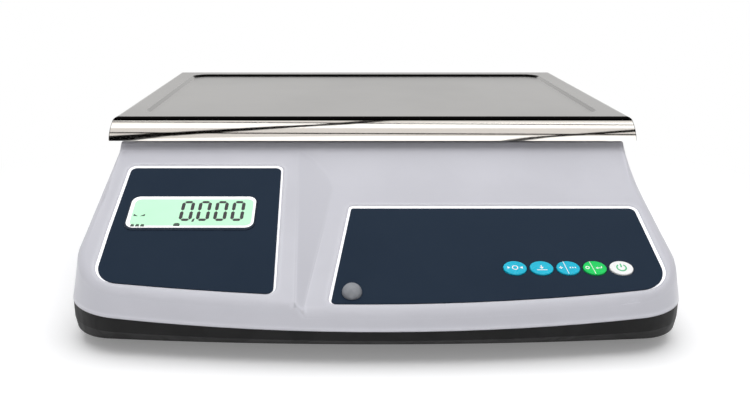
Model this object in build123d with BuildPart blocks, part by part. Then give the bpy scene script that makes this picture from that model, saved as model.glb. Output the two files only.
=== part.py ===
# Retail counter scale: a moulded case with two sloping fascias, a steel platter carried
# by a single-point load cell, five keys, a backlit display and four levelling feet.
# Millimetres, +Z up, front towards -Y, origin on the table under the middle of the scale.
from build123d import *
from math import sqrt
import os

os.makedirs("parts", exist_ok=True)

# Case: outline at the parting line, drafts, walls
case_half_width = 187.5
case_front = -189.2
case_rear = 181.0
bow_radius = 1000.0
front_corner = 40.0
rear_corner = 26.0
side_draft = 0.20
front_draft = 0.03
rear_draft = 0.05
deck_height = 97.0
part_height = 22.0
part_arc_radius = 3750.0
wall = 2.5
rim_fillet = 6.0
loft_bottom = 4.0
loft_top = 110.0

# Fascias: each is a plane through a pivot line near the front rim
pivot_y = -185.0
display_pivot_z = 39.0
display_slope = 0.45
keypad_pivot_z = 35.5
keypad_slope = 0.42
keypad_rim_y = -85.6
recess_depth = 2.0
recess_gap = 0.15
overlay_thickness = 0.6
face_wall = recess_depth + wall

# Base tray
base_floor = 8.0
tray_wall = 2.5
tray_half_width = 184.0
tray_front = -176.6
tray_bow_radius = 1700.0
tray_shoulder = 16.0
tray_corner = 26.0
shadow_gap = 0.8
lip_inset = 3.6
lip_thickness = 1.5
lip_height = 4.0
post_top = 24.0
column_radius = 4.5
rib = 2.0
rib_depth = 7.0
weld_depth = 0.3

# Platter: flat top between the bends, flange profile, pressed weighing area
platter_width = 352.0
platter_depth = 233.0
platter_y = 66.0
platter_top = 120.0
sheet = 1.0
bend_radius = 4.0
bend_angle = 68.0
flange_radius = 42.0
flange_end_angle = 87.0
mitre_gap = 0.4
pan_border = 15.0
pan_depth = 2.0
pan_corner = 12.0

# Weighing gear
cell_length, cell_width, cell_height = 130.0, 30.0, 22.0
cell_bottom = 66.0
cell_bolt_x = (42.5, 57.5)
cell_bolt_radius = 3.0
spacer_height = 3.0
column_x = 50.0
column_size = 34.0
deck_hole_radius = 29.0
carrier_plate_bottom = 104.0
carrier_plate_top = 108.0
carrier_rib_bottom = 99.5
bumper_x, bumper_dy = 130.0, 85.0
bumper_radius = 8.0
pin_radius = 2.5
pin_tip = 110.5

# Feet
foot_x = 148.0
foot_front_y, foot_rear_y = -122.0, 150.0
foot_radius = 14.0
foot_pad_height = 5.0
stud_radius = 4.0
stud_top = 25.0
insert_radius = 6.5
insert_bottom, insert_top = 10.5, 21.0
thread_gap = 0.05

# Small dimensions shared by the pieces inside
screw_seat = 14.0
battery_lift = 2.0
stop_column_top = 52.0
stop_radius = 3.0
stop_gap = 0.5
seal_radius = 26.5
bumper_spigot = 4.0
cable_radius = 2.2
cable_points = [(-65, 66, 77), (-92, 66, 77), (-112, 44, 62), (-112, 6, 40), (-100, -20, 30), (-100, -48, 24.5)]

# Fastened positions
case_screw_points = [(-173, -100), (173, -100), (-168, 40), (168, 40), (-135, 170), (135, 170)]
pedestal_points = [(-60, 36), (60, 36), (-60, 96), (60, 96)]
board_centre = (-70.0, -72.0)
board_size = (130.0, 84.0)
boss_top = 18.0
battery_centre = (122.0, 30.0)
battery_size = (70.0, 106.0, 47.0)
jack_x, jack_z = -110.0, 42.0
jack_radius = 5.5

# Display window, in fascia coordinates: x across, y up the slope from the pivot line
window_centre = (-116.5, 76.8)
window_size = (81.8, 31.8)
window_corner = 6.0
display_board_size = (102.0, 58.0)
display_boss = (47.5, 25.0)

window_thickness = 1.2
glass_thickness = 2.8
board_drop = 7.0

# Keys and level, in fascia coordinates of the keypad
key_x = [82.7, 98.6, 114.5, 130.4, 146.3]
key_y = 32.8
key_size = (14.0, 11.6)
key_proud = 0.9
key_gap = 0.3
key_travel = 0.4
key_names = ["key_zero", "key_tare", "key_function", "key_enter", "key_power"]
keypad_board_centre = (114.5, 38.0)
keypad_board_size = (98.0, 34.0)
keypad_boss = (45.0, 13.0)
key_board_drop = 4.6
dome_height = 0.8
board_thickness = 1.6
level_centre = (-14.8, 12.8)
level_dome = 5.0
level_neck = 0.8
level_radius = 5.8


from_bottom = (Align.CENTER, Align.CENTER, Align.MIN)
from_top = (Align.CENTER, Align.CENTER, Align.MAX)


def finish(part, name):
    part.label = name
    export_step(part, f"parts/{name}.step")


def display_z(y):
    return display_pivot_z + display_slope * (y - pivot_y)


def keypad_z(y):
    return keypad_pivot_z + keypad_slope * (y - pivot_y)


def part_z(x):
    return part_height + x**2 / (2 * part_arc_radius)


def fascia_plane(pivot_z, slope):
    length = sqrt(1 + slope**2)
    return Plane(origin=(0, pivot_y, pivot_z), x_dir=(1, 0, 0), z_dir=(0, -slope / length, 1 / length))


display_plane = fascia_plane(display_pivot_z, display_slope)
keypad_plane = fascia_plane(keypad_pivot_z, keypad_slope)
display_up = Axis((0, 0, 0), display_plane.z_dir)
keypad_up = Axis((0, 0, 0), keypad_plane.z_dir)
display_rim_y = pivot_y + (deck_height - display_pivot_z) / display_slope

# The triangular facet that steps down from the display module to the keypad module
facet_top = Vector(-51, -70, display_z(-70))
facet_toe = Vector(-47, -188, display_z(-188))
facet_low = Vector(-27, -89, keypad_z(-89))
facet_plane = Plane(origin=facet_toe, z_dir=(facet_toe - facet_top).cross(facet_low - facet_top))


def bowed_outline(height, half, front, rear, bow, front_round, rear_round):
    with BuildSketch(Plane.XY.offset(height)) as outline:
        with BuildLine():
            side_front = front + half**2 / (2 * bow)
            ThreePointArc((-half, side_front), (0, front), (half, side_front))
            Polyline((half, side_front), (half, rear), (-half, rear), (-half, side_front))
        make_face()
        fillet(outline.vertices().group_by(Axis.Y)[0], front_round)
        fillet(outline.vertices().group_by(Axis.Y)[-1], rear_round)
    return outline.sketch


def case_outline(height, inset):
    rise = height - part_height
    return bowed_outline(height, case_half_width - side_draft * rise - inset,
                         case_front + front_draft * rise + inset, case_rear - rear_draft * rise - inset,
                         bow_radius, front_corner - inset, rear_corner - inset)


def case_form(inset, face_inset):
    reach = 260
    under = -40
    with BuildPart() as display_mass:
        with BuildSketch(Plane.YZ.offset(-reach)):
            with BuildLine():
                drop = face_inset * sqrt(1 + display_slope**2)
                top = deck_height - inset
                Polyline((-reach, under), (-reach, display_z(-reach) - drop),
                         (display_rim_y + (drop - inset) / display_slope, top),
                         (reach, top), (reach, under), close=True)
            make_face()
        extrude(amount=2 * reach)
        split(bisect_by=facet_plane.offset(-inset), keep=Keep.BOTTOM)
    with BuildPart() as plan_mass:
        add(case_outline(loft_bottom, inset))
        add(case_outline(loft_top, inset))
        loft(ruled=True)
    with BuildPart() as form:
        with BuildSketch(Plane.YZ.offset(-reach)):
            with BuildLine():
                drop = face_inset * sqrt(1 + keypad_slope**2)
                shift = inset * 0.6
                rim = (keypad_rim_y + shift, keypad_z(keypad_rim_y + shift) - drop)
                top = (display_rim_y + shift, deck_height - inset)
                riser = ThreePointArc(rim, (-70.4 + shift, 85.8 - inset * 0.8), top)
                Polyline(riser @ 1, (reach, top[1]), (reach, under), (-reach, under),
                         (-reach, keypad_z(-reach) - drop), riser @ 0)
            make_face()
        extrude(amount=2 * reach)
        add(display_mass.part)
        add(plan_mass.part, mode=Mode.INTERSECT)
    return form.part


def under_parting(drop):
    reach = 260
    with BuildPart() as prism:
        with BuildSketch(Plane.XZ.offset(-reach)):
            with BuildLine():
                ThreePointArc((-reach, part_z(reach) - drop), (0, part_height - drop), (reach, part_z(reach) - drop))
                Polyline((reach, part_z(reach) - drop), (reach, -10), (-reach, -10), (-reach, part_z(reach) - drop))
            make_face()
        extrude(amount=2 * reach)
    return prism.part


def display_panel(grow):
    with BuildSketch(Plane.XY) as panel:
        with BuildLine():
            bottom = ThreePointArc((-165.2, 17.4), (-113.7, 11.5), (-60.1, 7.1))
            Polyline(bottom @ 1, (-62.3, 123.2), (-163.8, 123.2), (-165.2, 59.5), bottom @ 0)
        make_face()
        corners = panel.vertices().sort_by(Axis.Y)
        fillet(corners[1], 15)
        fillet(panel.vertices().sort_by(Axis.Y)[0], 4)
        fillet(panel.vertices().group_by(Axis.Y)[-1], 4)
        if grow:
            offset(amount=grow)
    return panel.sketch


def keypad_panel(grow):
    with BuildSketch(Plane.XY) as panel:
        with BuildLine():
            bottom = ThreePointArc((-27.0, 4.1), (80, 7.2), (171.2, 17.8))
            Polyline(bottom @ 1, (169.0, 89.2), (-14.9, 89.2), bottom @ 0)
        make_face()
        fillet(panel.vertices().group_by(Axis.X)[-1].sort_by(Axis.Y)[0], 19)
        fillet(panel.vertices().sort_by(Axis.X)[0], 2.5)
        fillet(panel.vertices().group_by(Axis.Y)[-1].sort_by(Axis.X)[0], 1.5)
        fillet(panel.vertices().group_by(Axis.Y)[-1].sort_by(Axis.X)[-1], 4)
        if grow:
            offset(amount=grow)
    return panel.sketch


# Upper housing: shell, recesses, openings, columns and bosses
outer_form = case_form(0, 0)
inner_form = case_form(wall, face_wall)
tray_zone = under_parting(0)

with BuildPart() as case_shell:
    add(outer_form)
    rims = case_shell.edges().filter_by(lambda e: min((e @ 0).Z, (e @ 1).Z) > part_height + 3)
    left_sharp = rims.filter_by(GeomType.LINE).filter_by(lambda e: (e @ 0.5).Z > deck_height - 1)
    left_sharp.append(rims.sort_by(SortBy.LENGTH)[0])
    fillet(rims.filter_by(lambda e: e not in left_sharp), rim_fillet)
    add(tray_zone, mode=Mode.SUBTRACT)

with BuildPart() as columns:
    with Locations(*[(x, y, post_top) for x, y in case_screw_points]):
        Cylinder(column_radius, deck_height, align=from_bottom)
    with BuildSketch(Plane.XY.offset(deck_height - wall - rib_depth)):
        with Locations((0, 18), (0, 116)):
            Rectangle(300, rib)
        with Locations((-90, platter_y), (118, platter_y)):
            Rectangle(rib, 200)
    extrude(amount=rib_depth + 1)
    add(case_form(wall - weld_depth, face_wall - weld_depth), mode=Mode.INTERSECT)

with BuildPart() as upper_housing:
    add(case_shell.part)
    add(inner_form, mode=Mode.SUBTRACT)
    add(columns.part)
    with Locations(*[(x, y, post_top) for x, y in case_screw_points]):
        Cylinder(1.4, 12, align=from_bottom, mode=Mode.SUBTRACT)
    with BuildSketch(display_plane.offset(-face_wall - board_drop)):
        with Locations(window_centre):
            with GridLocations(2 * display_boss[0], 2 * display_boss[1], 2, 2):
                Circle(3)
                Circle(1.1, mode=Mode.SUBTRACT)
    extrude(amount=board_drop)
    with BuildSketch(keypad_plane.offset(-face_wall - key_board_drop)):
        with Locations(keypad_board_centre):
            with GridLocations(2 * keypad_boss[0], 2 * keypad_boss[1], 2, 2):
                Circle(3)
                Circle(1.1, mode=Mode.SUBTRACT)
    extrude(amount=key_board_drop)
    with BuildSketch(display_plane.offset(-recess_depth)):
        add(display_panel(recess_gap))
    extrude(amount=recess_depth + 3, taper=-45, mode=Mode.SUBTRACT)
    with BuildSketch(keypad_plane.offset(-recess_depth)):
        add(keypad_panel(recess_gap))
    extrude(amount=recess_depth + 3, taper=-45, mode=Mode.SUBTRACT)
    with BuildSketch(display_plane):
        with Locations(window_centre):
            RectangleRounded(window_size[0] - 6, window_size[1] - 6, window_corner - 2)
    extrude(amount=-face_wall - 1, mode=Mode.SUBTRACT)
    with BuildSketch(keypad_plane):
        with Locations(*[(x, key_y) for x in key_x]):
            Ellipse(key_size[0] / 2 + key_gap, key_size[1] / 2 + key_gap)
        with Locations(level_centre):
            Circle(level_radius + 0.1)
    extrude(amount=-face_wall - 1, mode=Mode.SUBTRACT)
    with Locations((column_x, platter_y, deck_height)):
        Cylinder(deck_hole_radius, 20, mode=Mode.SUBTRACT)
    with BuildSketch(Plane.XZ.offset(-case_rear - 5)):
        with Locations((jack_x, jack_z)):
            Circle(jack_radius + 0.1)
    extrude(amount=20, mode=Mode.SUBTRACT)
finish(upper_housing.part, "upper_housing")

# Fascia overlays: printed sheets lying on the recess floors
with BuildPart() as display_overlay:
    with BuildSketch(display_plane.offset(-recess_depth)):
        add(display_panel(0))
        with Locations(window_centre):
            RectangleRounded(window_size[0] + 0.2, window_size[1] + 0.2, window_corner, mode=Mode.SUBTRACT)
    extrude(amount=overlay_thickness)
finish(display_overlay.part, "display_overlay")

with BuildPart() as keypad_overlay:
    with BuildSketch(keypad_plane.offset(-recess_depth)):
        add(keypad_panel(0))
        with Locations(*[(x, key_y) for x in key_x]):
            Ellipse(key_size[0] / 2 + key_gap, key_size[1] / 2 + key_gap, mode=Mode.SUBTRACT)
        with Locations(level_centre):
            Circle(level_radius + 0.1, mode=Mode.SUBTRACT)
    extrude(amount=overlay_thickness)
finish(keypad_overlay.part, "keypad_overlay")

# Display: window, glass, backlight, frame, board
with BuildPart() as display_window:
    with BuildSketch(display_plane.offset(-recess_depth)):
        with Locations(window_centre):
            RectangleRounded(window_size[0], window_size[1], window_corner)
    extrude(amount=window_thickness)
    fillet(display_window.faces().sort_by(display_up)[-1].edges(), 0.3)
finish(display_window.part, "display_window")

glass_size = (window_size[0] + 6, window_size[1] + 6)
glass_depth = face_wall + 0.2
with BuildPart() as lcd_glass:
    with BuildSketch(display_plane.offset(-glass_depth)):
        with Locations(window_centre):
            Rectangle(*glass_size)
    extrude(amount=-glass_thickness)
finish(lcd_glass.part, "lcd_glass")

with BuildPart() as lcd_backlight:
    with BuildSketch(display_plane.offset(-glass_depth - glass_thickness)):
        with Locations(window_centre):
            Rectangle(*glass_size)
    extrude(amount=-(board_drop + face_wall - glass_depth - glass_thickness))
finish(lcd_backlight.part, "lcd_backlight")

with BuildPart() as lcd_frame:
    with BuildSketch(display_plane.offset(-glass_depth)):
        with Locations(window_centre):
            Rectangle(glass_size[0] + 4, glass_size[1] + 4)
            Rectangle(glass_size[0] + 0.2, glass_size[1] + 0.2, mode=Mode.SUBTRACT)
    extrude(amount=-(board_drop + face_wall - glass_depth))
finish(lcd_frame.part, "lcd_frame")

with BuildPart() as display_board:
    with BuildSketch(display_plane.offset(-face_wall - board_drop)):
        with Locations(window_centre):
            RectangleRounded(display_board_size[0], display_board_size[1], 3)
            with GridLocations(2 * display_boss[0], 2 * display_boss[1], 2, 2):
                Circle(1.3, mode=Mode.SUBTRACT)
    extrude(amount=-board_thickness)
finish(display_board.part, "display_board")

with BuildPart(display_plane.offset(-face_wall - board_drop - board_thickness)) as display_board_screws:
    with Locations(window_centre):
        with GridLocations(2 * display_boss[0], 2 * display_boss[1], 2, 2):
            Cylinder(2.4, 1.8, align=from_top)
            Cylinder(1.05, 5, align=from_bottom)
finish(display_board_screws.part, "display_board_screws")

# Keys: each cap passes through the fascia and is held by a flange behind it
key_flange_top = face_wall + 0.1
key_stem_bottom = key_board_drop + face_wall - dome_height - 0.02 - key_travel
for name, x in zip(key_names, key_x):
    with BuildPart() as key:
        with BuildSketch(keypad_plane.offset(-key_flange_top)):
            with Locations((x, key_y)):
                Ellipse(key_size[0] / 2, key_size[1] / 2)
        extrude(amount=key_flange_top - recess_depth + overlay_thickness + key_proud)
        fillet(key.edges().sort_by(keypad_up)[-1], 0.5)
        with BuildSketch(keypad_plane.offset(-key_flange_top)):
            with Locations((x, key_y)):
                Ellipse(key_size[0] / 2 + 0.8, key_size[1] / 2 + 1.2)
        extrude(amount=-1.0)
        with BuildSketch(keypad_plane.offset(-key_flange_top)):
            with Locations((x, key_y)):
                Circle(2)
        extrude(amount=-(key_stem_bottom - key_flange_top))
    finish(key.part, name)

with BuildPart() as keypad_board:
    with BuildSketch(keypad_plane.offset(-face_wall - key_board_drop)):
        with Locations(keypad_board_centre):
            RectangleRounded(keypad_board_size[0], keypad_board_size[1], 3)
            with GridLocations(2 * keypad_boss[0], 2 * keypad_boss[1], 2, 2):
                Circle(1.3, mode=Mode.SUBTRACT)
    extrude(amount=-board_thickness)
finish(keypad_board.part, "keypad_board")

with BuildPart(keypad_plane.offset(-face_wall - key_board_drop)) as key_domes:
    with Locations(*[(x, key_y) for x in key_x]):
        Cylinder(4, 0.3, align=from_bottom)
        Cone(3.4, 1.8, dome_height, align=from_bottom)
finish(key_domes.part, "key_domes")

with BuildPart(keypad_plane.offset(-face_wall - key_board_drop - board_thickness)) as keypad_board_screws:
    with Locations(keypad_board_centre):
        with GridLocations(2 * keypad_boss[0], 2 * keypad_boss[1], 2, 2):
            Cylinder(2.4, 1.8, align=from_top)
            Cylinder(1.05, 5, align=from_bottom)
finish(keypad_board_screws.part, "keypad_board_screws")

# Bubble level: domed lens over a cup that is held behind the keypad fascia
with BuildPart(keypad_plane.offset(-face_wall)) as level_lens:
    with Locations(level_centre):
        Cylinder(level_radius, face_wall - recess_depth + overlay_thickness + level_neck, align=from_bottom)
        with Locations((0, 0, face_wall - recess_depth + overlay_thickness + level_neck)):
            dome_sphere = (level_radius**2 + level_dome**2) / (2 * level_dome)
            with Locations((0, 0, level_dome - dome_sphere)):
                Sphere(dome_sphere)
    with BuildSketch(keypad_plane.offset(-face_wall)):
        with Locations(level_centre):
            Circle(level_radius)
    extrude(amount=30, mode=Mode.INTERSECT)
finish(level_lens.part, "level_lens")

with BuildPart(keypad_plane.offset(-face_wall)) as level_cup:
    with Locations(level_centre):
        Cylinder(level_radius + 2.5, 8, align=from_top)
        Cylinder(level_radius - 1, 6, align=from_top, mode=Mode.SUBTRACT)
finish(level_cup.part, "level_cup")

with BuildPart(keypad_plane.offset(-face_wall)) as level_fluid:
    with Locations(level_centre):
        Cylinder(level_radius - 1.1, 5.9, align=from_top)
        with Locations((0, 0, -2.2)):
            Sphere(1.6, mode=Mode.SUBTRACT)
finish(level_fluid.part, "level_fluid")

# Base tray: bowed pan with a curved underside, lip, posts, ribs and the battery bay
def tray_form(inset):
    bottom = bowed_outline(base_floor + inset, tray_half_width - inset, tray_front + inset,
                           case_rear - 4 - inset, tray_bow_radius, tray_corner - inset, rear_corner - inset)
    shoulder = bowed_outline(tray_shoulder, case_half_width - shadow_gap - inset,
                             case_front + shadow_gap + inset, case_rear - shadow_gap - inset,
                             bow_radius, front_corner - inset, rear_corner - inset)
    with BuildPart() as form:
        add(bottom)
        add(shoulder)
        loft(ruled=True)
        add(shoulder)
        extrude(amount=20)
    return form.part


foot_points = [(-foot_x, foot_front_y), (foot_x, foot_front_y), (-foot_x, foot_rear_y), (foot_x, foot_rear_y)]
foot_names = ["front_left", "front_right", "rear_left", "rear_right"]
board_holes = (board_size[0] / 2 - 5, board_size[1] / 2 - 5)
bay_gap = 0.6
door_margin = 0.9
ear = (16.0, 10.0)
floor_top = base_floor + tray_wall

with BuildPart() as tray_shell:
    add(tray_form(0))
    fillet(tray_shell.faces().sort_by(Axis.Z)[0].edges(), 2.5)
    add(tray_form(tray_wall), mode=Mode.SUBTRACT)
    add(tray_zone, mode=Mode.INTERSECT)

with BuildPart() as tray_lip:
    add(tray_form(lip_inset))
    add(tray_form(lip_inset + lip_thickness), mode=Mode.SUBTRACT)
    add(under_parting(-lip_height), mode=Mode.INTERSECT)

with BuildPart() as lip_foot:
    add(tray_form(tray_wall - 0.2))
    add(tray_form(lip_inset + lip_thickness), mode=Mode.SUBTRACT)
    add(under_parting(3), mode=Mode.INTERSECT)

with BuildPart() as base_tray:
    add(tray_shell.part)
    add(tray_lip.part)
    add(lip_foot.part)
    with Locations(*[(0, y, floor_top - 0.5) for y in (-140, -30, 20, 112, 165)]):
        Box(330, rib, 4.5, align=from_bottom)
    with Locations(*[(x, 0, floor_top - 0.5) for x in (-100, -30, 72)]):
        Box(rib, 320, 4.5, align=from_bottom)
    with Locations(*[(x, y, base_floor + 1) for x, y in case_screw_points]):
        Cylinder(6, post_top - base_floor - 1, align=from_bottom)
    with Locations(*[(x, y, base_floor + 1) for x, y in foot_points]):
        Cylinder(11, insert_top - base_floor - 1, align=from_bottom)
    with Locations(*[(x, y, base_floor + 1) for x, y in pedestal_points]):
        Cylinder(6.5, boss_top - base_floor - 1, align=from_bottom)
    with Locations((*board_centre, base_floor + 1)):
        with GridLocations(2 * board_holes[0], 2 * board_holes[1], 2, 2):
            Cylinder(3.5, boss_top - base_floor - 1, align=from_bottom)
    with BuildSketch(Plane.XY.offset(floor_top)):
        with Locations(battery_centre):
            Rectangle(battery_size[0] + 2 * bay_gap + 6, battery_size[1] + 2 * bay_gap + 6)
            with Locations((0, battery_size[1] / 2 + 7), (0, -battery_size[1] / 2 - 7)):
                Circle(5)
    extrude(amount=14)
    with BuildSketch(Plane.XY.offset(floor_top)):
        with Locations(battery_centre):
            Rectangle(battery_size[0] + 2 * bay_gap, battery_size[1] + 2 * bay_gap)
    extrude(amount=40, mode=Mode.SUBTRACT)
    with BuildSketch(Plane.XY.offset(base_floor - 1)) as door_opening:
        with Locations(battery_centre):
            Rectangle(battery_size[0] + 2 * bay_gap + door_margin, battery_size[1] + 2 * bay_gap + door_margin)
            with Locations((0, battery_size[1] / 2 + 5), (0, -battery_size[1] / 2 - 5)):
                Rectangle(ear[0], ear[1] + 5)
    extrude(amount=tray_wall + 1, mode=Mode.SUBTRACT)
    with Locations(*[(battery_centre[0], battery_centre[1] + s * (battery_size[1] / 2 + 7), floor_top)
                     for s in (-1, 1)]):
        Cylinder(1.4, 9, align=from_bottom, mode=Mode.SUBTRACT)
    with Locations(*[(x, y, base_floor - 1) for x, y in case_screw_points]):
        Cylinder(1.7, 30, align=from_bottom, mode=Mode.SUBTRACT)
        Cylinder(3.6, screw_seat - base_floor + 1, align=from_bottom, mode=Mode.SUBTRACT)
    with Locations(*[(x, y, base_floor - 1) for x, y in foot_points]):
        Cylinder(stud_radius + 0.6, 30, align=from_bottom, mode=Mode.SUBTRACT)
    with Locations(*[(x, y, insert_bottom) for x, y in foot_points]):
        Cylinder(insert_radius, 30, align=from_bottom, mode=Mode.SUBTRACT)
    with Locations(*[(x, y, floor_top - 0.5) for x, y in pedestal_points]):
        Cylinder(2.1, 30, align=from_bottom, mode=Mode.SUBTRACT)
    with Locations((*board_centre, floor_top)):
        with GridLocations(2 * board_holes[0], 2 * board_holes[1], 2, 2):
            Cylinder(1.3, 30, align=from_bottom, mode=Mode.SUBTRACT)
finish(base_tray.part, "base_tray")

with BuildPart(Plane.XY.offset(screw_seat)) as housing_screws:
    with Locations(*case_screw_points):
        Cylinder(1.35, post_top + 10 - screw_seat, align=from_bottom)
        Cylinder(3, 2.6, align=from_top)
finish(housing_screws.part, "housing_screws")

# Battery, its foam pad, the door in the underside and the door screws
with BuildPart() as battery_door:
    with BuildSketch(Plane.XY.offset(base_floor)):
        with Locations(battery_centre):
            Rectangle(battery_size[0] + 2 * bay_gap + door_margin - 0.6,
                      battery_size[1] + 2 * bay_gap + door_margin - 0.6)
            with Locations((0, battery_size[1] / 2 + 5), (0, -battery_size[1] / 2 - 5)):
                Rectangle(ear[0] - 0.6, ear[1] + 4.4)
    extrude(amount=tray_wall)
    with Locations(*[(battery_centre[0], battery_centre[1] + s * (battery_size[1] / 2 + 7), base_floor)
                     for s in (-1, 1)]):
        Cylinder(1.7, 20, mode=Mode.SUBTRACT)
        Cylinder(3.2, 2.4, mode=Mode.SUBTRACT)
finish(battery_door.part, "battery_door")

with BuildPart(Plane.XY.offset(base_floor + 1.2)) as battery_door_screws:
    with Locations(*[(battery_centre[0], battery_centre[1] + s * (battery_size[1] / 2 + 7)) for s in (-1, 1)]):
        Cylinder(1.35, 8, align=from_bottom)
        Cylinder(2.8, 1.1, align=from_top)
finish(battery_door_screws.part, "battery_door_screws")

with BuildPart(Plane.XY.offset(floor_top)) as battery_pad:
    with Locations(battery_centre):
        Box(battery_size[0] - 4, battery_size[1] - 4, battery_lift, align=from_bottom)
finish(battery_pad.part, "battery_pad")

with BuildPart(Plane.XY.offset(floor_top + battery_lift)) as battery:
    with Locations(battery_centre):
        Box(*battery_size, align=from_bottom)
    fillet(battery.edges().filter_by(Axis.Z), 2)
    chamfer(battery.faces().sort_by(Axis.Z)[-1].edges(), 1.2)
    with Locations((battery_centre[0] - 22, battery_centre[1] - 44, battery_size[2]),
                   (battery_centre[0] + 22, battery_centre[1] - 44, battery_size[2])):
        Box(0.8, 6.3, 7, align=from_bottom)
finish(battery.part, "battery")

# Main board with its parts
with BuildPart(Plane.XY.offset(boss_top)) as main_board:
    with Locations(board_centre):
        Box(board_size[0], board_size[1], board_thickness, align=from_bottom)
        with GridLocations(2 * board_holes[0], 2 * board_holes[1], 2, 2):
            Cylinder(1.6, 10, mode=Mode.SUBTRACT)
    fillet(main_board.edges().filter_by(Axis.Z).group_by(Axis.X)[0], 3)
finish(main_board.part, "main_board")

board_top = boss_top + board_thickness
board_blocks = [(-30, 10, 14, 14, 1.6), (0, 14, 10, 7, 1.4), (22, 26, 20, 8, 9), (-8, -28, 30, 7, 8),
                (46, 20, 12, 16, 12), (-48, -22, 12, 8, 9), (44, -24, 16, 10, 7), (18, -8, 9, 9, 2)]
board_cans = [(30, 2, 5.0, 16), (44, 2, 5.0, 16), (-50, 14, 4.0, 11), (-16, 30, 3.2, 8)]
with BuildPart(Plane.XY.offset(board_top)) as main_board_parts:
    for x, y, w, d, h in board_blocks:
        with Locations((board_centre[0] + x, board_centre[1] + y)):
            Box(w, d, h, align=from_bottom)
    for x, y, r, h in board_cans:
        with Locations((board_centre[0] + x, board_centre[1] + y)):
            Cylinder(r, h, align=from_bottom)
finish(main_board_parts.part, "main_board_parts")

with BuildPart(Plane.XY.offset(board_top)) as buzzer:
    with Locations((board_centre[0] + 2, board_centre[1] - 8)):
        Cylinder(6, 8, align=from_bottom)
        Cylinder(1.2, 30, mode=Mode.SUBTRACT)
finish(buzzer.part, "buzzer")

with BuildPart(Plane.XY.offset(board_top)) as main_board_screws:
    with Locations(board_centre):
        with GridLocations(2 * board_holes[0], 2 * board_holes[1], 2, 2):
            Cylinder(2.8, 2.2, align=from_bottom)
            Cylinder(1.25, 6, align=from_top)
finish(main_board_screws.part, "main_board_screws")

# Charger inlet: threaded socket through the rear wall, nut inside
jack_face = case_rear - rear_draft * (jack_z - part_height) + 0.5
jack_plane = Plane(origin=(jack_x, jack_face, jack_z), x_dir=(1, 0, 0), z_dir=(0, 1, 0))
with BuildPart(jack_plane) as dc_jack:
    Cylinder(8, 2, align=from_bottom)
    Cylinder(jack_radius, 15, align=from_top)
    fillet(dc_jack.faces().sort_by(Axis.Y)[-1].edges(), 0.6)
    with Locations((0, 0, 2)):
        Cylinder(3.15, 9, align=from_top, mode=Mode.SUBTRACT)
    with Locations((0, 0, -7)):
        Cylinder(1.0, 8, align=from_bottom)
finish(dc_jack.part, "dc_jack")

with BuildPart() as dc_jack_nut:
    with BuildSketch(jack_plane.offset(-wall - 1.3)):
        RegularPolygon(8.5, 6)
        Circle(jack_radius, mode=Mode.SUBTRACT)
    extrude(amount=-3)
finish(dc_jack_nut.part, "dc_jack_nut")

# Load cell, the pedestal under it, its screws and the overload stop
left_bolts = [(-x, platter_y) for x in cell_bolt_x]
right_bolts = [(x, platter_y) for x in cell_bolt_x]
cell_top = cell_bottom + cell_height
pedestal_top = cell_bottom - spacer_height

with BuildPart() as load_cell_pedestal:
    with BuildSketch(Plane.XY.offset(boss_top)):
        with Locations((0, platter_y)):
            RectangleRounded(146, 78, 8)
            with Locations((0, 24), (0, -24)):
                RectangleRounded(70, 16, 5, mode=Mode.SUBTRACT)
    extrude(amount=5)
    with BuildSketch(Plane.XY.offset(boss_top + 4)):
        with Locations((-column_x, platter_y)):
            RectangleRounded(46, 48, 6)
    with BuildSketch(Plane.XY.offset(pedestal_top)):
        with Locations((-column_x, platter_y)):
            RectangleRounded(32, 32, 4)
    loft()
    with BuildSketch(Plane.XY.offset(boss_top + 4)):
        with Locations((column_x, platter_y)):
            Circle(15)
    with BuildSketch(Plane.XY.offset(stop_column_top)):
        with Locations((column_x, platter_y)):
            Circle(9)
    loft()
    with BuildSketch(Plane.XZ.offset(-platter_y)):
        with BuildLine():
            web = ThreePointArc((-column_x, 52), (0, 32), (column_x, 40))
            Polyline(web @ 1, (column_x, boss_top + 2), (-column_x, boss_top + 2), web @ 0)
        make_face()
    extrude(amount=3, both=True)
    with Locations(*[(x, y, boss_top) for x, y in pedestal_points]):
        Cylinder(2.7, 30, mode=Mode.SUBTRACT)
    with Locations(*[(x, y, pedestal_top) for x, y in left_bolts]):
        Cylinder(cell_bolt_radius, 30, mode=Mode.SUBTRACT)
    with Locations((column_x, platter_y, stop_column_top)):
        Cylinder(stop_radius, 40, mode=Mode.SUBTRACT)
finish(load_cell_pedestal.part, "load_cell_pedestal")

with BuildPart(Plane.XY.offset(boss_top + 5)) as pedestal_screws:
    with Locations(*pedestal_points):
        Cylinder(4.2, 3.2, align=from_bottom)
        Cylinder(2.05, 12, align=from_top)
finish(pedestal_screws.part, "pedestal_screws")

with BuildPart(Plane.XY.offset(pedestal_top)) as load_cell_spacer:
    with Locations((-column_x, platter_y)):
        Box(28, cell_width, spacer_height, align=from_bottom)
    with Locations(*left_bolts):
        Cylinder(cell_bolt_radius, 30, mode=Mode.SUBTRACT)
finish(load_cell_spacer.part, "load_cell_spacer")

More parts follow.
